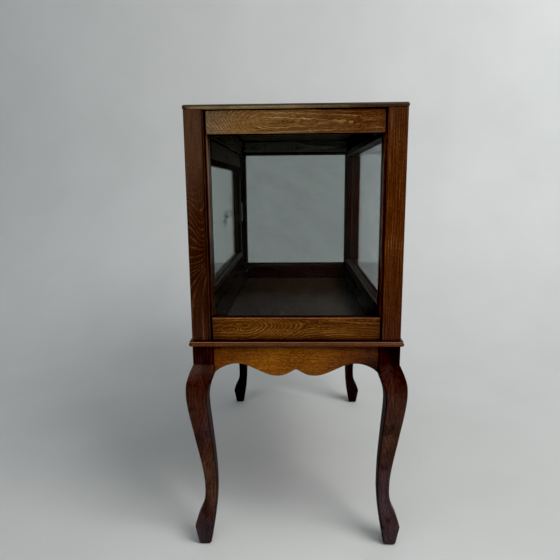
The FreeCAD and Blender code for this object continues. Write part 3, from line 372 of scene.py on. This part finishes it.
    bs = g.node("ShaderNodeBsdfPrincipled")
    g.put(bs.inputs["Base Color"], col)
    hand, _ = g.noise(g.vec(g.mul(pos[0], 0.02), g.mul(pos[1], 0.02), g.mul(pos[2], 0.02)), 1.0, 4.0, 0.6)
    rg = g.madd(hand, (rough[1] - rough[0]) * 1.6, rough[0] - 0.3 * (rough[1] - rough[0]))
    rg = g.madd(pores, 0.10, rg)
    rg = g.madd(rub, -0.06, rg)
    rg = g.madd(dirt_and_shade, 0.25, rg)
    if leg:
        rg = g.madd(turned, 0.25, rg)
    if unpolished_shade is not None:
        rg = g.madd(unpolished_shade, 0.40, rg)
        g.put(bs.inputs["Specular IOR Level"], g.madd(unpolished_shade, -specular, specular))
    elif matt is not None:
        g.put(bs.inputs["Specular IOR Level"], g.linear(pos[matt[0]], matt[1], matt[2], specular, 0.0))
    else:
        bs.inputs["Specular IOR Level"].default_value = specular
    g.put(bs.inputs["Roughness"], rg)
    h = g.madd(pores, -0.6, g.mul(fib, 0.8))
    h = g.madd(ring, 0.25, h)
    bp = g.node("ShaderNodeBump")
    bp.inputs["Strength"].default_value = bump
    bp.inputs["Distance"].default_value = 0.00022
    g.put(bp.inputs["Height"], h)
    g.put(bp.inputs["Normal"], soft_normal)
    g.put(bs.inputs["Normal"], bp.outputs[0])
    return g.finish(bs.outputs[0])


# ---------------------------------------------------------------------- glass
def glass(name, tint, cut=None, film=0.006, even=0.25, dust_and_reflection_bands=None):
    """Old window glass: thin, a little green, faintly streaked and dusty.

    film     how much dust lies on it, and even how evenly it lies
    dust_and_reflection_bands (height, times): how much thicker the dust film lies at these heights, its bands also
    serving as painted reflection
    """
    g = Graph(name)
    x, y, z = g.position()
    lw = g.node("ShaderNodeLayerWeight")
    lw.inputs["Blend"].default_value = 0.5
    f = g.math("POWER", lw.outputs["Facing"], 5.0)
    f = g.math("MULTIPLY_ADD", f, 0.98, -0.02, clamp=True)
    # slow waves in the sheet and wiping marks in its dust
    wave, _ = g.noise(g.vec(g.mul(x, 0.012), g.mul(y, 0.012), g.mul(z, 0.020)), 1.0, 1.0, 0.5)
    bp = g.node("ShaderNodeBump")
    bp.inputs["Strength"].default_value = 0.25
    bp.inputs["Distance"].default_value = 0.0006
    g.put(bp.inputs["Height"], wave)
    cloud, _ = g.noise(g.vec(g.mul(x, 0.012), g.mul(y, 0.012), g.madd(z, 0.022, g.mul(x, 0.010))), 1.0, 4.0, 0.6)
    wipe, _ = g.noise(g.vec(g.madd(z, 0.05, g.mul(x, 0.012)), g.mul(y, 0.012), g.madd(z, 0.004, g.mul(x, -0.03))), 1.0, 3.0, 0.6)
    haze = g.mul(g.smooth(cloud, 0.38, 0.72, 0.25, 1.0), g.smooth(wipe, 0.30, 0.70, 0.4, 1.0))
    haze = g.madd(haze, 1.0 - even, even)
    # thicker dust bands at these heights, which also serve as painted reflection
    if dust_and_reflection_bands is not None:
        lo, hi, most = dust_and_reflection_bands[0][0], dust_and_reflection_bands[-1][0], max(t for _, t in dust_and_reflection_bands)
        level = g.linear(g.madd(cloud, 10.0, z), lo, hi)
        haze = g.mul(haze, g.mul(g.ramp(level, [((a - lo) / (hi - lo), t / most) for a, t in dust_and_reflection_bands], "EASE"), most))
    tr = g.node("ShaderNodeBsdfTransparent")
    g.put(tr.inputs["Color"], g.mix(g.smooth(cloud, 0.35, 0.75), tint, tuple(c * 0.97 for c in tint)))
    gl = g.node("ShaderNodeBsdfGlossy")
    gl.inputs["Roughness"].default_value = 0.015
    g.put(gl.inputs["Normal"], bp.outputs[0])
    m = g.node("ShaderNodeMixShader")
    g.put(m.inputs[0], f)
    g.put(m.inputs[1], tr.outputs[0])
    g.put(m.inputs[2], gl.outputs[0])
    soil = g.node("ShaderNodeBsdfDiffuse")
    soil.inputs["Color"].default_value = (*lin(186, 190, 186), 1.0)
    ms = g.node("ShaderNodeMixShader")
    g.put(ms.inputs[0], g.mul(haze, film * 2.0))
    g.put(ms.inputs[1], m.outputs[0])
    g.put(ms.inputs[2], soil.outputs[0])
    last = ms.outputs[0]
    if cut:
        # the cut star: its ground walls, where the face leans off the pane, and the
        # ragged edge of the wheel's cut beside them
        nx, _, _ = facing(g, True)
        lean = g.smooth(g.math("ABSOLUTE", nx), 0.998, 0.97)
        mid_y, mid_z, rays = cut
        dy, dz = g.sub(y, mid_y), g.sub(z, mid_z)
        for ry, rz, half in rays:
            n = math.hypot(ry, rz)
            along = g.math("ABSOLUTE", g.madd(dy, ry / n, g.mul(dz, rz / n)))
            across = g.math("ABSOLUTE", g.madd(dy, -rz / n, g.mul(dz, ry / n)))
            room = g.sub(g.math("MINIMUM", g.madd(along, -half / n / 0.64, half / 0.64), half), across)
            stroke = g.mul(g.smooth(room, -0.3, 0.5), g.smooth(along, 3.5, 7.0))
            lean = g.math("MAXIMUM", lean, g.mul(stroke, 0.8))
        frost = g.node("ShaderNodeBsdfPrincipled")
        g.put(frost.inputs["Base Color"], g.ramp(cloud, [(0.3, lin(16, 22, 19)), (0.7, lin(34, 44, 38))]))
        frost.inputs["Roughness"].default_value = 0.35
        mc = g.node("ShaderNodeMixShader")
        g.put(mc.inputs[0], g.mul(lean, 0.95))
        g.put(mc.inputs[1], last)
        g.put(mc.inputs[2], frost.outputs[0])
        last = mc.outputs[0]
    return g.finish(last)


# ---------------------------------------------------------------------- metal
def metal(name, tones, rough=(0.28, 0.5), tarnish=0.5):
    g = Graph(name)
    x, y, z = g.position()
    p = g.vec(x, y, z)
    n1, _ = g.noise(p, 0.16, 4.0, 0.6)
    n2, _ = g.noise(p, 1.1, 3.0, 0.6)
    edge, soft_normal = edge_mask(g, 0.0005)
    v = g.madd(g.sub(n2, 0.5), 0.4, n1)
    v = g.madd(edge, 0.35, v)
    col = g.ramp(v, [(0.28, tones[0]), (0.55, tones[1]), (0.85, tones[2])])
    bs = g.node("ShaderNodeBsdfPrincipled")
    g.put(bs.inputs["Base Color"], col)
    bs.inputs["Metallic"].default_value = 1.0
    g.put(bs.inputs["Roughness"], g.madd(v, rough[0] - rough[1], rough[1] + 0.1 * tarnish))
    bp = g.node("ShaderNodeBump")
    bp.inputs["Strength"].default_value = 0.2
    bp.inputs["Distance"].default_value = 0.0001
    g.put(bp.inputs["Height"], n2)
    g.put(bp.inputs["Normal"], soft_normal)
    g.put(bs.inputs["Normal"], bp.outputs[0])
    return g.finish(bs.outputs[0])


# --------------------------------------------------------------------- finish
def dress(name, material):
    ob = nodes[name]
    ob.data.materials.clear()
    ob.data.materials.append(material)


# stain colours as seen: dark, middle, light and bright line; the sets marked below paint light or shade into the colour
RAIL_OLIVE = (seen(58, 38, 17), seen(102, 72, 38), seen(135, 100, 58), seen(170, 134, 87))
# painted sheen: greyer, lighter tones for the left part of the near top rail
RAIL_GREY_SHEEN = (seen(50, 38, 26), seen(90, 71, 51), seen(123, 99, 72), seen(156, 129, 97))
RAIL_RED = (seen(34, 12, 3), seen(68, 36, 13), seen(100, 61, 27), seen(142, 98, 56))
# painted sheen: greyer, lighter tones for the top of the left near post
POST_TOP_SHEEN = (seen(43, 24, 15), seen(69, 46, 32), seen(91, 64, 46), seen(114, 86, 66))
POST_L = (seen(25, 9, 5), seen(44, 20, 10), seen(70, 39, 21), seen(110, 73, 48))
POST_R = (seen(34, 10, 1), seen(62, 28, 8), seen(92, 48, 18), seen(120, 72, 36))
# painted light: lighter, greyer tones towards the top of the right post
POST_R_TOP_LIT = (seen(36, 14, 6), seen(64, 33, 14), seen(95, 55, 27), seen(122, 79, 46))
# painted shade: darker tones towards the bottom of the posts
POST_LOW_SHADE = (seen(24, 5, 1), seen(46, 16, 4), seen(72, 33, 10), seen(96, 53, 22))
# painted highlight: lighter tones for the upper part of the left post's inner side face
POST_IN_LIT = (seen(60, 34, 24), seen(98, 64, 48), seen(126, 88, 68), seen(150, 112, 92))
# painted shade: dark tones for the quirk beside the left post
QUIRK_SHADE_POST = (seen(16, 7, 5), seen(30, 14, 9), seen(42, 21, 14), seen(54, 30, 21))
# painted shade: near-black tones for shaded faces and recesses
SHADE_DARK = (seen(10, 3, 2), seen(20, 8, 4), seen(32, 14, 8), seen(44, 22, 14))
LOW = (seen(34, 11, 1), seen(80, 43, 8), seen(118, 72, 20), seen(160, 108, 46))
# painted shade: darker tones for the low rail's lower edge and ends
LOW_SHADE = (seen(24, 6, 1), seen(52, 21, 4), seen(84, 44, 11), seen(120, 72, 26))
APRON = (seen(58, 25, 2), seen(114, 63, 7), seen(142, 88, 12), seen(166, 110, 24))
APRON_END = (seen(36, 10, 1), seen(80, 36, 5), seen(106, 55, 9), seen(128, 74, 18))
# painted shadow: dark tones for the apron's top under the moulding, also used towards its right end
APRON_SHADOW_DARK = (seen(18, 4, 2), seen(40, 14, 5), seen(60, 26, 9), seen(82, 42, 16))
LEG = (seen(24, 7, 5), seen(47, 21, 15), seen(70, 37, 25), seen(90, 56, 40))
# painted shadow: the legs' top blocks darkened under the moulding
LEG_BLOCK_SHADOW = (seen(12, 2, 1), seen(30, 9, 6), seen(48, 20, 14), seen(70, 38, 30))
# painted reflection: lighter tan on the lower half of the top board's edge, where it faces the pale floor
BOARD_FLOOR_REFLECTION = (seen(76, 59, 38), seen(124, 104, 74), seen(152, 132, 98), seen(180, 160, 122))
# painted shade: darker tones for the right part and the left end of the top board
BOARD_SHADE = (seen(24, 14, 6), seen(49, 34, 19), seen(70, 52, 33), seen(92, 73, 52))
BOARD_DARK = (seen(22, 13, 6), seen(48, 34, 20), seen(72, 54, 36), seen(94, 76, 54))
BASE = (seen(36, 12, 3), seen(74, 35, 10), seen(100, 55, 23), seen(122, 76, 42))
# worn edge together with painted highlight: the light line on the base's upper roll
BASE_WORN_HIGHLIGHT = (seen(106, 70, 48), seen(138, 98, 72), seen(160, 120, 92), seen(176, 138, 108))
STRIP = (seen(12, 4, 2), seen(27, 12, 7), seen(44, 24, 16), seen(70, 44, 34))
# painted shade: dark tones for the faces inside the case, where little light reaches
INNER_SHADE = (lin(24, 13, 11), lin(45, 28, 22), lin(67, 47, 39))
# painted sheen: lighter grey tones for some inside faces, standing in for the polish mirroring light from the panes
GREY_SHEEN = (lin(58, 49, 44), lin(88, 77, 69), lin(112, 101, 92))
# dust together with painted sheen: pale grey tones for inside faces
DUST_AND_SHEEN = (lin(70, 64, 60), lin(104, 97, 92), lin(128, 121, 115))
# painted shade: dark tones for the inside faces of the floor, the far posts, the far low rail and the far door stile
FLOOR_IN_SHADE = (lin(38, 24, 18), lin(62, 44, 34), lin(88, 67, 54))
POST_FAR_IN_SHADE = (lin(22, 9, 8), lin(44, 20, 17), lin(66, 36, 31))
BEAD_FAR = (seen(18, 12, 11), seen(36, 27, 25), seen(54, 44, 41), seen(74, 64, 60))
RED_IN_SHADE = (lin(24, 6, 4), lin(46, 13, 9), lin(68, 24, 16))
STILE_IN_SHADE = (lin(36, 24, 20), lin(58, 44, 38), lin(80, 66, 58))
RAW = (lin(96, 66, 40), lin(134, 98, 62), lin(160, 124, 86), lin(176, 142, 104))
RUBBED = seen(150, 112, 84)

# near top rail: painted sheen in grey tones on its left part, painted shade behind its front face
dress("end_rail_top_near", wood("rail_top_near", "x", RAIL_OLIVE, 1.0, heart=(-320.0, 772.0), spacing=6.2, flame=0.03, runs=[(-175.0, -52.0, -0.72)], tilt=(-150.0, -70.0, 17.0, 0.0), knots=[(124.0, 780.0, 20.0, 7.0, 9.0), (58.0, 766.0, 26.0, 6.0, 2.5)], wobble=1.8, curl=2.0, line=0.75, fine=0.50, speck=0.65, blotch=0.42, more=[(RAIL_GREY_SHEEN, 0, -85.0, -140.0), (RAIL_RED, 0, -15.0, 105.0)], wear=seen(140, 104, 84), wear_amount=0.45, shade_within=(1, 325.2)))
# near low rail: painted shade along its lower edge and towards both ends, and behind its front face
dress("end_rail_low_near", wood("rail_low_near", "x", LOW, 2.0, heart=(-320.0, 428.0), spacing=4.6, flame=-0.03, runs=[(-92.0, 26.0, 0.46)], tilt=(-20.0, 90.0, 0.0, 10.0), knots=[(-116.0, 424.0, 24.0, 9.0, 10.0), (62.0, 422.0, 34.0, 7.0, -5.0)], wobble=1.7, curl=1.6, line=0.80, fine=0.55, speck=0.45, more=[(LOW_SHADE, 2, 416.0, 400.0), (LOW_SHADE, 0, -118.0, -150.0), (LOW_SHADE, 0, 60.0, 150.0)], wear_amount=0.45, shade_within=(1, 325.2)))
# left post: painted sheen at the top, painted shade in the quirk and on the inner side face, with a painted highlight
# on that face's upper part
dress("post_near_left", wood("post_near_left", "z", POST_L, 3.0, figure="sweep", heart=(541.0, -149.0, -184.0), spacing=12.0, wobble=1.6, curl=1.8, line=0.80, fine=0.32, fibre=0.5, speck=0.45, more=[(POST_TOP_SHEEN, 2, 600.0, 720.0), (QUIRK_SHADE_POST, 0, -155.4, -153.2), (POST_LOW_SHADE, 0, -148.6, -147.4), (POST_IN_LIT, 0, -148.6, -147.4, 2, 560.0, 720.0)], mask=(2, 675.0, 640.0), wear_amount=0.12, inside=False))
# right post: painted light towards the top, painted shade towards the bottom
dress("post_near_right", wood("post_near_right", "z", POST_R, 4.0, heart=(240.0, -322.0), spacing=4.4, flame=0.01, wobble=2.6, curl=1.0, line=0.45, shape=BROAD, fibre=0.85, speck=0.75, more=[(POST_R_TOP_LIT, 2, 640.0, 740.0), (POST_LOW_SHADE, 2, 560.0, 420.0)], wear_amount=0.12, inside=False))
# near apron: painted shadow along the top under the moulding, darker towards the right end, painted shade on faces
# turned down
dress("end_apron_near", wood("apron_near", "x", APRON, 5.0, heart=(-318.0, 350.0), spacing=3.4, flame=0.05, wobble=4.0, curl=2.0, line=0.28, fine=0.2, speck=0.95, blotch=0.55, more=[(APRON_END, 0, -60.0, -150.0), (APRON_END, 0, 26.0, 84.0), (APRON_SHADOW_DARK, 0, 84.0, 128.0), (APRON_SHADOW_DARK, 2, 383.0, 391.0)], under=seen(30, 12, 3), wear_amount=0.15, inside=False))

# top rails at the far end and sides: painted shade on their inside faces, with dust and painted sheen on the far one
# and painted sheen on the left one
for n_, s_ in (("end_rail_top_far", 6.0), ("side_rail_top_left", 7.0), ("side_rail_top_right", 8.0)):
    end = n_.startswith("end")
    side = 0.0 if end else (-170.0 if "left" in n_ else 170.0)
    dress(n_, wood(n_ + "_wood", "x" if end else "y", RAIL_RED, s_, heart=(320.0, 775.0) if end else (775.0, side), spacing=5.4, flame=0.03, runs=[(-110.0, 20.0, 0.4)] if end else [(-220.0, -40.0, -0.4), (60.0, 200.0, 0.45)], curl=1.5, line=0.6, fine=0.4, speck=0.45, shade_within=(1, 325.2) if end else (0, 179.2), inner=DUST_AND_SHEEN if end else GREY_SHEEN if "left" in n_ else None))
for n_, s_ in (("end_rail_low_far", 9.0), ("side_rail_low_left", 10.0), ("side_rail_low_right", 11.0)):
    end = n_.startswith("end")
    side = 0.0 if end else (-170.0 if "left" in n_ else 170.0)
    dress(n_, wood(n_ + "_wood", "x" if end else "y", LOW, s_, heart=(320.0, 424.0) if end else (422.0, side), spacing=4.8, flame=0.03, runs=[(-60.0, 60.0, -0.4)] if end else [(-180.0, 0.0, 0.4), (80.0, 230.0, -0.4)], curl=1.4, line=0.6, fine=0.4, speck=0.45, shade_within=(1, 325.2) if end else (0, 179.2), inner=RED_IN_SHADE if end else None))
# far posts: painted shade towards the bottom
for n_, s_ in (("post_far_left", 12.0), ("post_far_right", 13.0)):
    dress(n_, wood(n_ + "_wood", "z", POST_R, s_, heart=(-125.0 if "left" in n_ else 125.0, 290.0), spacing=3.4, flame=0.03, line=0.5, fibre=0.7, more=[(POST_LOW_SHADE, 2, 560.0, 420.0)], wear_amount=0.3, inner=POST_FAR_IN_SHADE))
for n_, s_ in (("end_apron_far", 14.0), ("side_apron_left", 15.0), ("side_apron_right", 16.0)):
    end = n_.startswith("end")
    side = 0.0 if end else (-168.0 if "left" in n_ else 168.0)
    dress(n_, wood(n_ + "_wood", "x" if end else "y", APRON_END, s_, heart=(316.0, 356.0) if end else (360.0, side), spacing=3.6, flame=0.03, wobble=3.0, curl=1.8, line=0.4, speck=0.8, under=seen(30, 12, 3), wear_amount=0.15, inside=False))
# the legs carry painted shadow of the moulding on their top blocks, reaching down over the right leg's knee
for n_, s_ in (("leg_near_left", 17.0), ("leg_near_right", 18.0), ("leg_far_left", 19.0), ("leg_far_right", 20.0)):
    dress(n_, wood(n_ + "_wood", "z", LEG, s_, heart=(-135.0 if "left" in n_ else 135.0, -280.0 if "near" in n_ else 280.0), spacing=3.0, flame=0.03, line=0.35, fine=0.2, shape=BROAD, fibre=0.6, speck=0.55, blotch=0.6, more=[(LEG_BLOCK_SHADOW, 2, 352.0, 360.0) if n_ == "leg_near_left" else (LEG_BLOCK_SHADOW, 2, 324.0, 354.0)], wear_amount=0.12, specular=0.12, inside=False, round_edges=False, leg=(90.0, 175.0, 0.8, 105.0, 0.65) if n_ == "leg_near_left" else (190.0, 310.0, 0.25, 175.0, 0.1), matt=None if n_ == "leg_near_left" else (2, 300.0, 380.0)))
# top board: painted reflection on the lower half of the edge, painted shade to the right and at the left end, painted
# sheen on the underside
dress("top_board", wood("top_board_wood", "y", BOARD_DARK, 21.0, heart=(740.0, 20.0), spacing=3.0, flame=0.05, wobble=4.0, more=[(BOARD_FLOOR_REFLECTION, 2, 799.0, 797.4), (BOARD_SHADE, 0, -10.0, 120.0), (BOARD_SHADE, 0, -170.0, -180.0)], wear_amount=0.0, inner=GREY_SHEEN))
# base board: worn edge with painted highlight on the upper roll, painted shade with dirt on the top face behind it, and
# painted shade with dust and painted sheen on the floor inside
dress("base_board", wood("base_board_wood", "y", BASE, 22.0, heart=(340.0, -15.0), spacing=3.0, flame=0.05, wobble=4.0, more=[(BASE_WORN_HIGHLIGHT, 2, 397.6, 398.4), (SHADE_DARK, 2, 399.5, 399.9)], wear_amount=0.0, bump=0.15, inner=FLOOR_IN_SHADE, dusty=(1, 120.0, -300.0)))

# door rails: painted sheen on the top rail's inside face
for n_, s_ in (("door_rail_top", 23.0), ("door_rail_low", 24.0)):
    dress(n_, wood(n_ + "_wood", "y", RAIL_RED, s_, heart=(728.0 if "top" in n_ else 464.0, -172.0), spacing=5.2, flame=0.03, runs=[(-200.0, -60.0, 0.4), (40.0, 190.0, -0.4)], curl=1.5, line=0.6, fine=0.4, speck=0.45, inner=GREY_SHEEN if "top" in n_ else None))
for n_, s_ in (("door_stile_near", 25.0), ("door_stile_far", 26.0)):
    dress(n_, wood(n_ + "_wood", "z", POST_R, s_, heart=(-140.0, -270.0 if "near" in n_ else 268.0), spacing=3.6, flame=0.03, line=0.5, fibre=0.7, inner=STILE_IN_SHADE if "far" in n_ else None))
for n_, ax, s_ in (("glazing_beads_near", "x", 27.0), ("glazing_beads_right", "y", 29.0)):
    dress(n_, wood(n_ + "_wood", ax, STRIP, s_, heart=(40.0, 40.0), spacing=3.0, flame=0.02, line=0.3, rough=(0.42, 0.58), specular=0.07, wear_amount=0.3, inside=False, under=seen(20, 14, 13)))
dress("glazing_beads_far", wood("glazing_beads_far_wood", "x", STRIP, 28.0, heart=(40.0, 40.0), spacing=3.0, flame=0.02, line=0.3, sticks=(0, 142.6)))
# door beads: painted shade above 700 mm and on the faces turned down
dress("door_glazing_beads", wood("door_glazing_beads_wood", "y", STRIP, 30.0, heart=(40.0, 40.0), spacing=3.0, flame=0.02, line=0.3, rough=(0.42, 0.58), specular=0.07, wear_amount=0.3, inside=False, more=[(SHADE_DARK, 2, 700.0, 702.0), (BEAD_FAR, 1, 236.0, 244.0)], under=seen(8, 5, 5), sticks=(1, 246.7), matt=(2, 600.0, 690.0)))
dress("stop_strips_far", wood("stop_strips_far_wood", "z", STRIP, 32.0, heart=(40.0, 40.0), spacing=3.0, flame=0.02, line=0.3, wear_amount=0.3))
dress("door_stops", wood("door_stops_wood", "y", STRIP, 34.0, heart=(600.0, -60.0), spacing=3.0))
for n_, s_ in (("corner_dowels", 35.0), ("top_dowels", 36.0), ("glue_blocks", 37.0)):
    dress(n_, wood(n_ + "_wood", "z" if "dowel" in n_ else "x", RAW, s_, heart=(60.0, 60.0), spacing=3.0, inside=False))

# the pane tints are darker than clear glass, as painted shade on what is seen through the case
PANE = (0.815, 0.838, 0.835)
door_mid = 1000.0 * sum(c[1] for c in nodes["door_glass"].bound_box) / 8.0
# near pane: thicker dust at the bottom and top, also serving as painted reflection of the floor and the room
dress("glass_near", glass("glass_near_sheet", PANE, film=0.0115, even=0.55, dust_and_reflection_bands=[(440.0, 1.7), (472.0, 1.6), (488.0, 1.0), (715.0, 1.0), (755.0, 1.2), (790.0, 1.3)]))
# far pane: darker tint still, as painted shade on the wall seen through it
dress("glass_far", glass("glass_far_sheet", (0.705, 0.722, 0.722)))
dress("glass_right", glass("glass_right_sheet", (0.99, 1.0, 1.0)))
dress("door_glass", glass("door_glass_sheet", (0.89, 0.92, 0.893), cut=(door_mid, 594.5, [(55.0, 5.5, 2.7), (-5.0, 27.0, 3.2), (29.0, 21.0, 2.7), (31.0, -18.0, 2.7)])))

BRASS = (lin(96, 70, 34), lin(164, 126, 66), lin(206, 170, 104))
STEEL = (lin(60, 56, 52), lin(110, 106, 100), lin(160, 156, 150))
for n_ in ("hinge_leaves_case", "hinge_leaves_door", "hinge_pins", "hinge_screws_case", "hinge_screws_door", "escutcheon", "escutcheon_pins", "strike_plate", "strike_screws", "lock_bolt"):
    dress(n_, metal(n_ + "_brass", BRASS))
for n_ in ("base_screws", "lock_case", "lock_screws", "door_key", "door_stop_screws"):
    dress(n_, metal(n_ + "_steel", STEEL))


# ---------------------------------------------------------------------- stage
def sweep():
    """Pale floor that curves up into a wall behind the table."""
    prof = [(-6.0, 0.0), (-3.0, 0.0), (-1.0, 0.0), (0.0, 0.0), (0.42, 0.0)]
    r = 0.95
    for a in range(1, 25):
        t = math.radians(90 * a / 24)
        prof.append((0.42 + r * math.sin(t), r * (1 - math.cos(t))))
    prof += [(0.42 + r, 1.6), (0.42 + r, 2.6), (0.42 + r, 4.0)]
    xs = [-6.0, -3.0, -1.5, 0.0, 1.5, 3.0, 6.0]
    verts = [(x, y, z) for y, z in prof for x in xs]
    faces = []
    m = len(xs)
    for a in range(len(prof) - 1):
        for b in range(m - 1):
            faces.append((a * m + b, a * m + b + 1, (a + 1) * m + b + 1, (a + 1) * m + b))
    me = bpy.data.meshes.new("studio_sweep")
    me.from_pydata(verts, [], faces)
    me.polygons.foreach_set("use_smooth", [True] * len(me.polygons))
    me.update()
    ob = bpy.data.objects.new("studio_sweep", me)
    scene.collection.objects.link(ob)
    g = Graph("studio_paper")
    x, y, z = g.position()
    n, _ = g.noise(g.vec(x, y, z), 0.004, 3.0, 0.5)
    bs = g.node("ShaderNodeBsdfPrincipled")
    g.put(bs.inputs["Base Color"], g.ramp(n, [(0.3, (0.70, 0.715, 0.70)), (0.7, (0.74, 0.755, 0.74))]))
    bs.inputs["Roughness"].default_value = 0.85
    bs.inputs["Specular IOR Level"].default_value = 0.15
    me.materials.append(g.finish(bs.outputs[0]))


sweep()


def soft_light(name, at, to, size, power, colour=(1.0, 1.0, 1.0), spread=180.0):
    d = bpy.data.lights.new(name, "AREA")
    d.shape = "RECTANGLE"
    d.size, d.size_y = size
    d.energy = power
    d.color = colour
    d.spread = math.radians(spread)
    ob = bpy.data.objects.new(name, d)
    ob.location = at
    ob.rotation_mode = "QUATERNION"
    ob.rotation_quaternion = (Vector(to) - Vector(at)).to_track_quat("-Z", "Y")
    scene.collection.objects.link(ob)
    return ob


soft_light("key_light", (1.6, -1.4, 2.5), (0.0, 0.1, 0.5), (1.6, 1.6), 52.0, (1.0, 0.985, 0.96))
soft_light("fill_light", (-1.5, -1.7, 2.2), (-0.6, 1.3, 1.3), (1.4, 1.4), 3.7, (0.99, 0.99, 0.98), 110.0)
soft_light("top_light", (0.1, -0.7, 2.8), (0.0, -0.4, 0.0), (2.0, 1.6), 12.0)
soft_light("floor_light", (0.05, -1.15, 2.2), (0.03, -0.72, 0.0), (0.4, 0.4), 0.28, (0.98, 0.99, 1.0), 26.0)
soft_light("wall_light", (2.4, 0.2, 1.9), (1.0, 1.37, 1.05), (1.0, 1.0), 3.7, (0.98, 0.99, 1.0), 80.0)


def flag():
    """Dark panel behind the camera, so that glass and polish mirror no bare light there."""
    me = bpy.data.meshes.new("dark_flag")
    me.from_pydata([(-4.0, -2.4, 0.0), (4.0, -2.4, 0.0), (4.0, -2.4, 3.2), (-4.0, -2.4, 3.2)], [], [(0, 1, 2, 3)])
    ob = bpy.data.objects.new("dark_flag", me)
    scene.collection.objects.link(ob)
    g = Graph("flag_cloth")
    x, y, z = g.position()
    n, _ = g.noise(g.vec(x, y, z), 0.003, 2.0, 0.5)
    bs = g.node("ShaderNodeBsdfPrincipled")
    g.put(bs.inputs["Base Color"], g.ramp(n, [(0.3, (0.012, 0.012, 0.013)), (0.7, (0.02, 0.02, 0.021))]))
    bs.inputs["Roughness"].default_value = 1.0
    bs.inputs["Specular IOR Level"].default_value = 0.0
    me.materials.append(g.finish(bs.outputs[0]))
    ob.visible_camera = False
    ob.visible_diffuse = False
    ob.visible_shadow = False


flag()

world = bpy.data.worlds.new("studio")
scene.world = world
world.use_nodes = True
wt = world.node_tree
wt.nodes["Background"].inputs["Color"].default_value = (0.70, 0.82, 1.0, 1.0)
wt.nodes["Background"].inputs["Strength"].default_value = 0.12

# --------------------------------------------------------------------- camera
def camera():
    yaw, pitch, roll = 0.03167, 0.18482, 0.00879
    cy, sy, cp, sp, cr, sr = math.cos(yaw), math.sin(yaw), math.cos(pitch), math.sin(pitch), math.cos(roll), math.sin(roll)
    rz = Matrix(((cy, -sy, 0), (sy, cy, 0), (0, 0, 1)))
    rx = Matrix(((1, 0, 0), (0, cp, sp), (0, -sp, cp)))
    ry = Matrix(((cr, 0, sr), (0, 1, 0), (-sr, 0, cr)))
    r = rz @ rx @ ry
    right, fwd, up = r.col[0], r.col[1], r.col[2]
    m = Matrix.Identity(4)
    for a in range(3):
        m[a][0], m[a][1], m[a][2] = right[a], up[a], -fwd[a]
    m.translation = Vector((0.00042, -1.19462, 0.67218))
    d = bpy.data.cameras.new("photo_camera")
    d.sensor_fit = "HORIZONTAL"
    d.sensor_width = 36.0
    d.lens = 509.76 / 560.0 * 36.0
    d.clip_start = 0.02
    d.clip_end = 60.0
    ob = bpy.data.objects.new("photo_camera", d)
    ob.matrix_world = m
    scene.collection.objects.link(ob)
    scene.camera = ob


camera()
scene.view_settings.view_transform = "Standard"
scene.view_settings.use_curve_mapping = True
scene.view_settings.curve_mapping.black_level = (0.006, 0.006, 0.006)
scene.view_settings.curve_mapping.update()
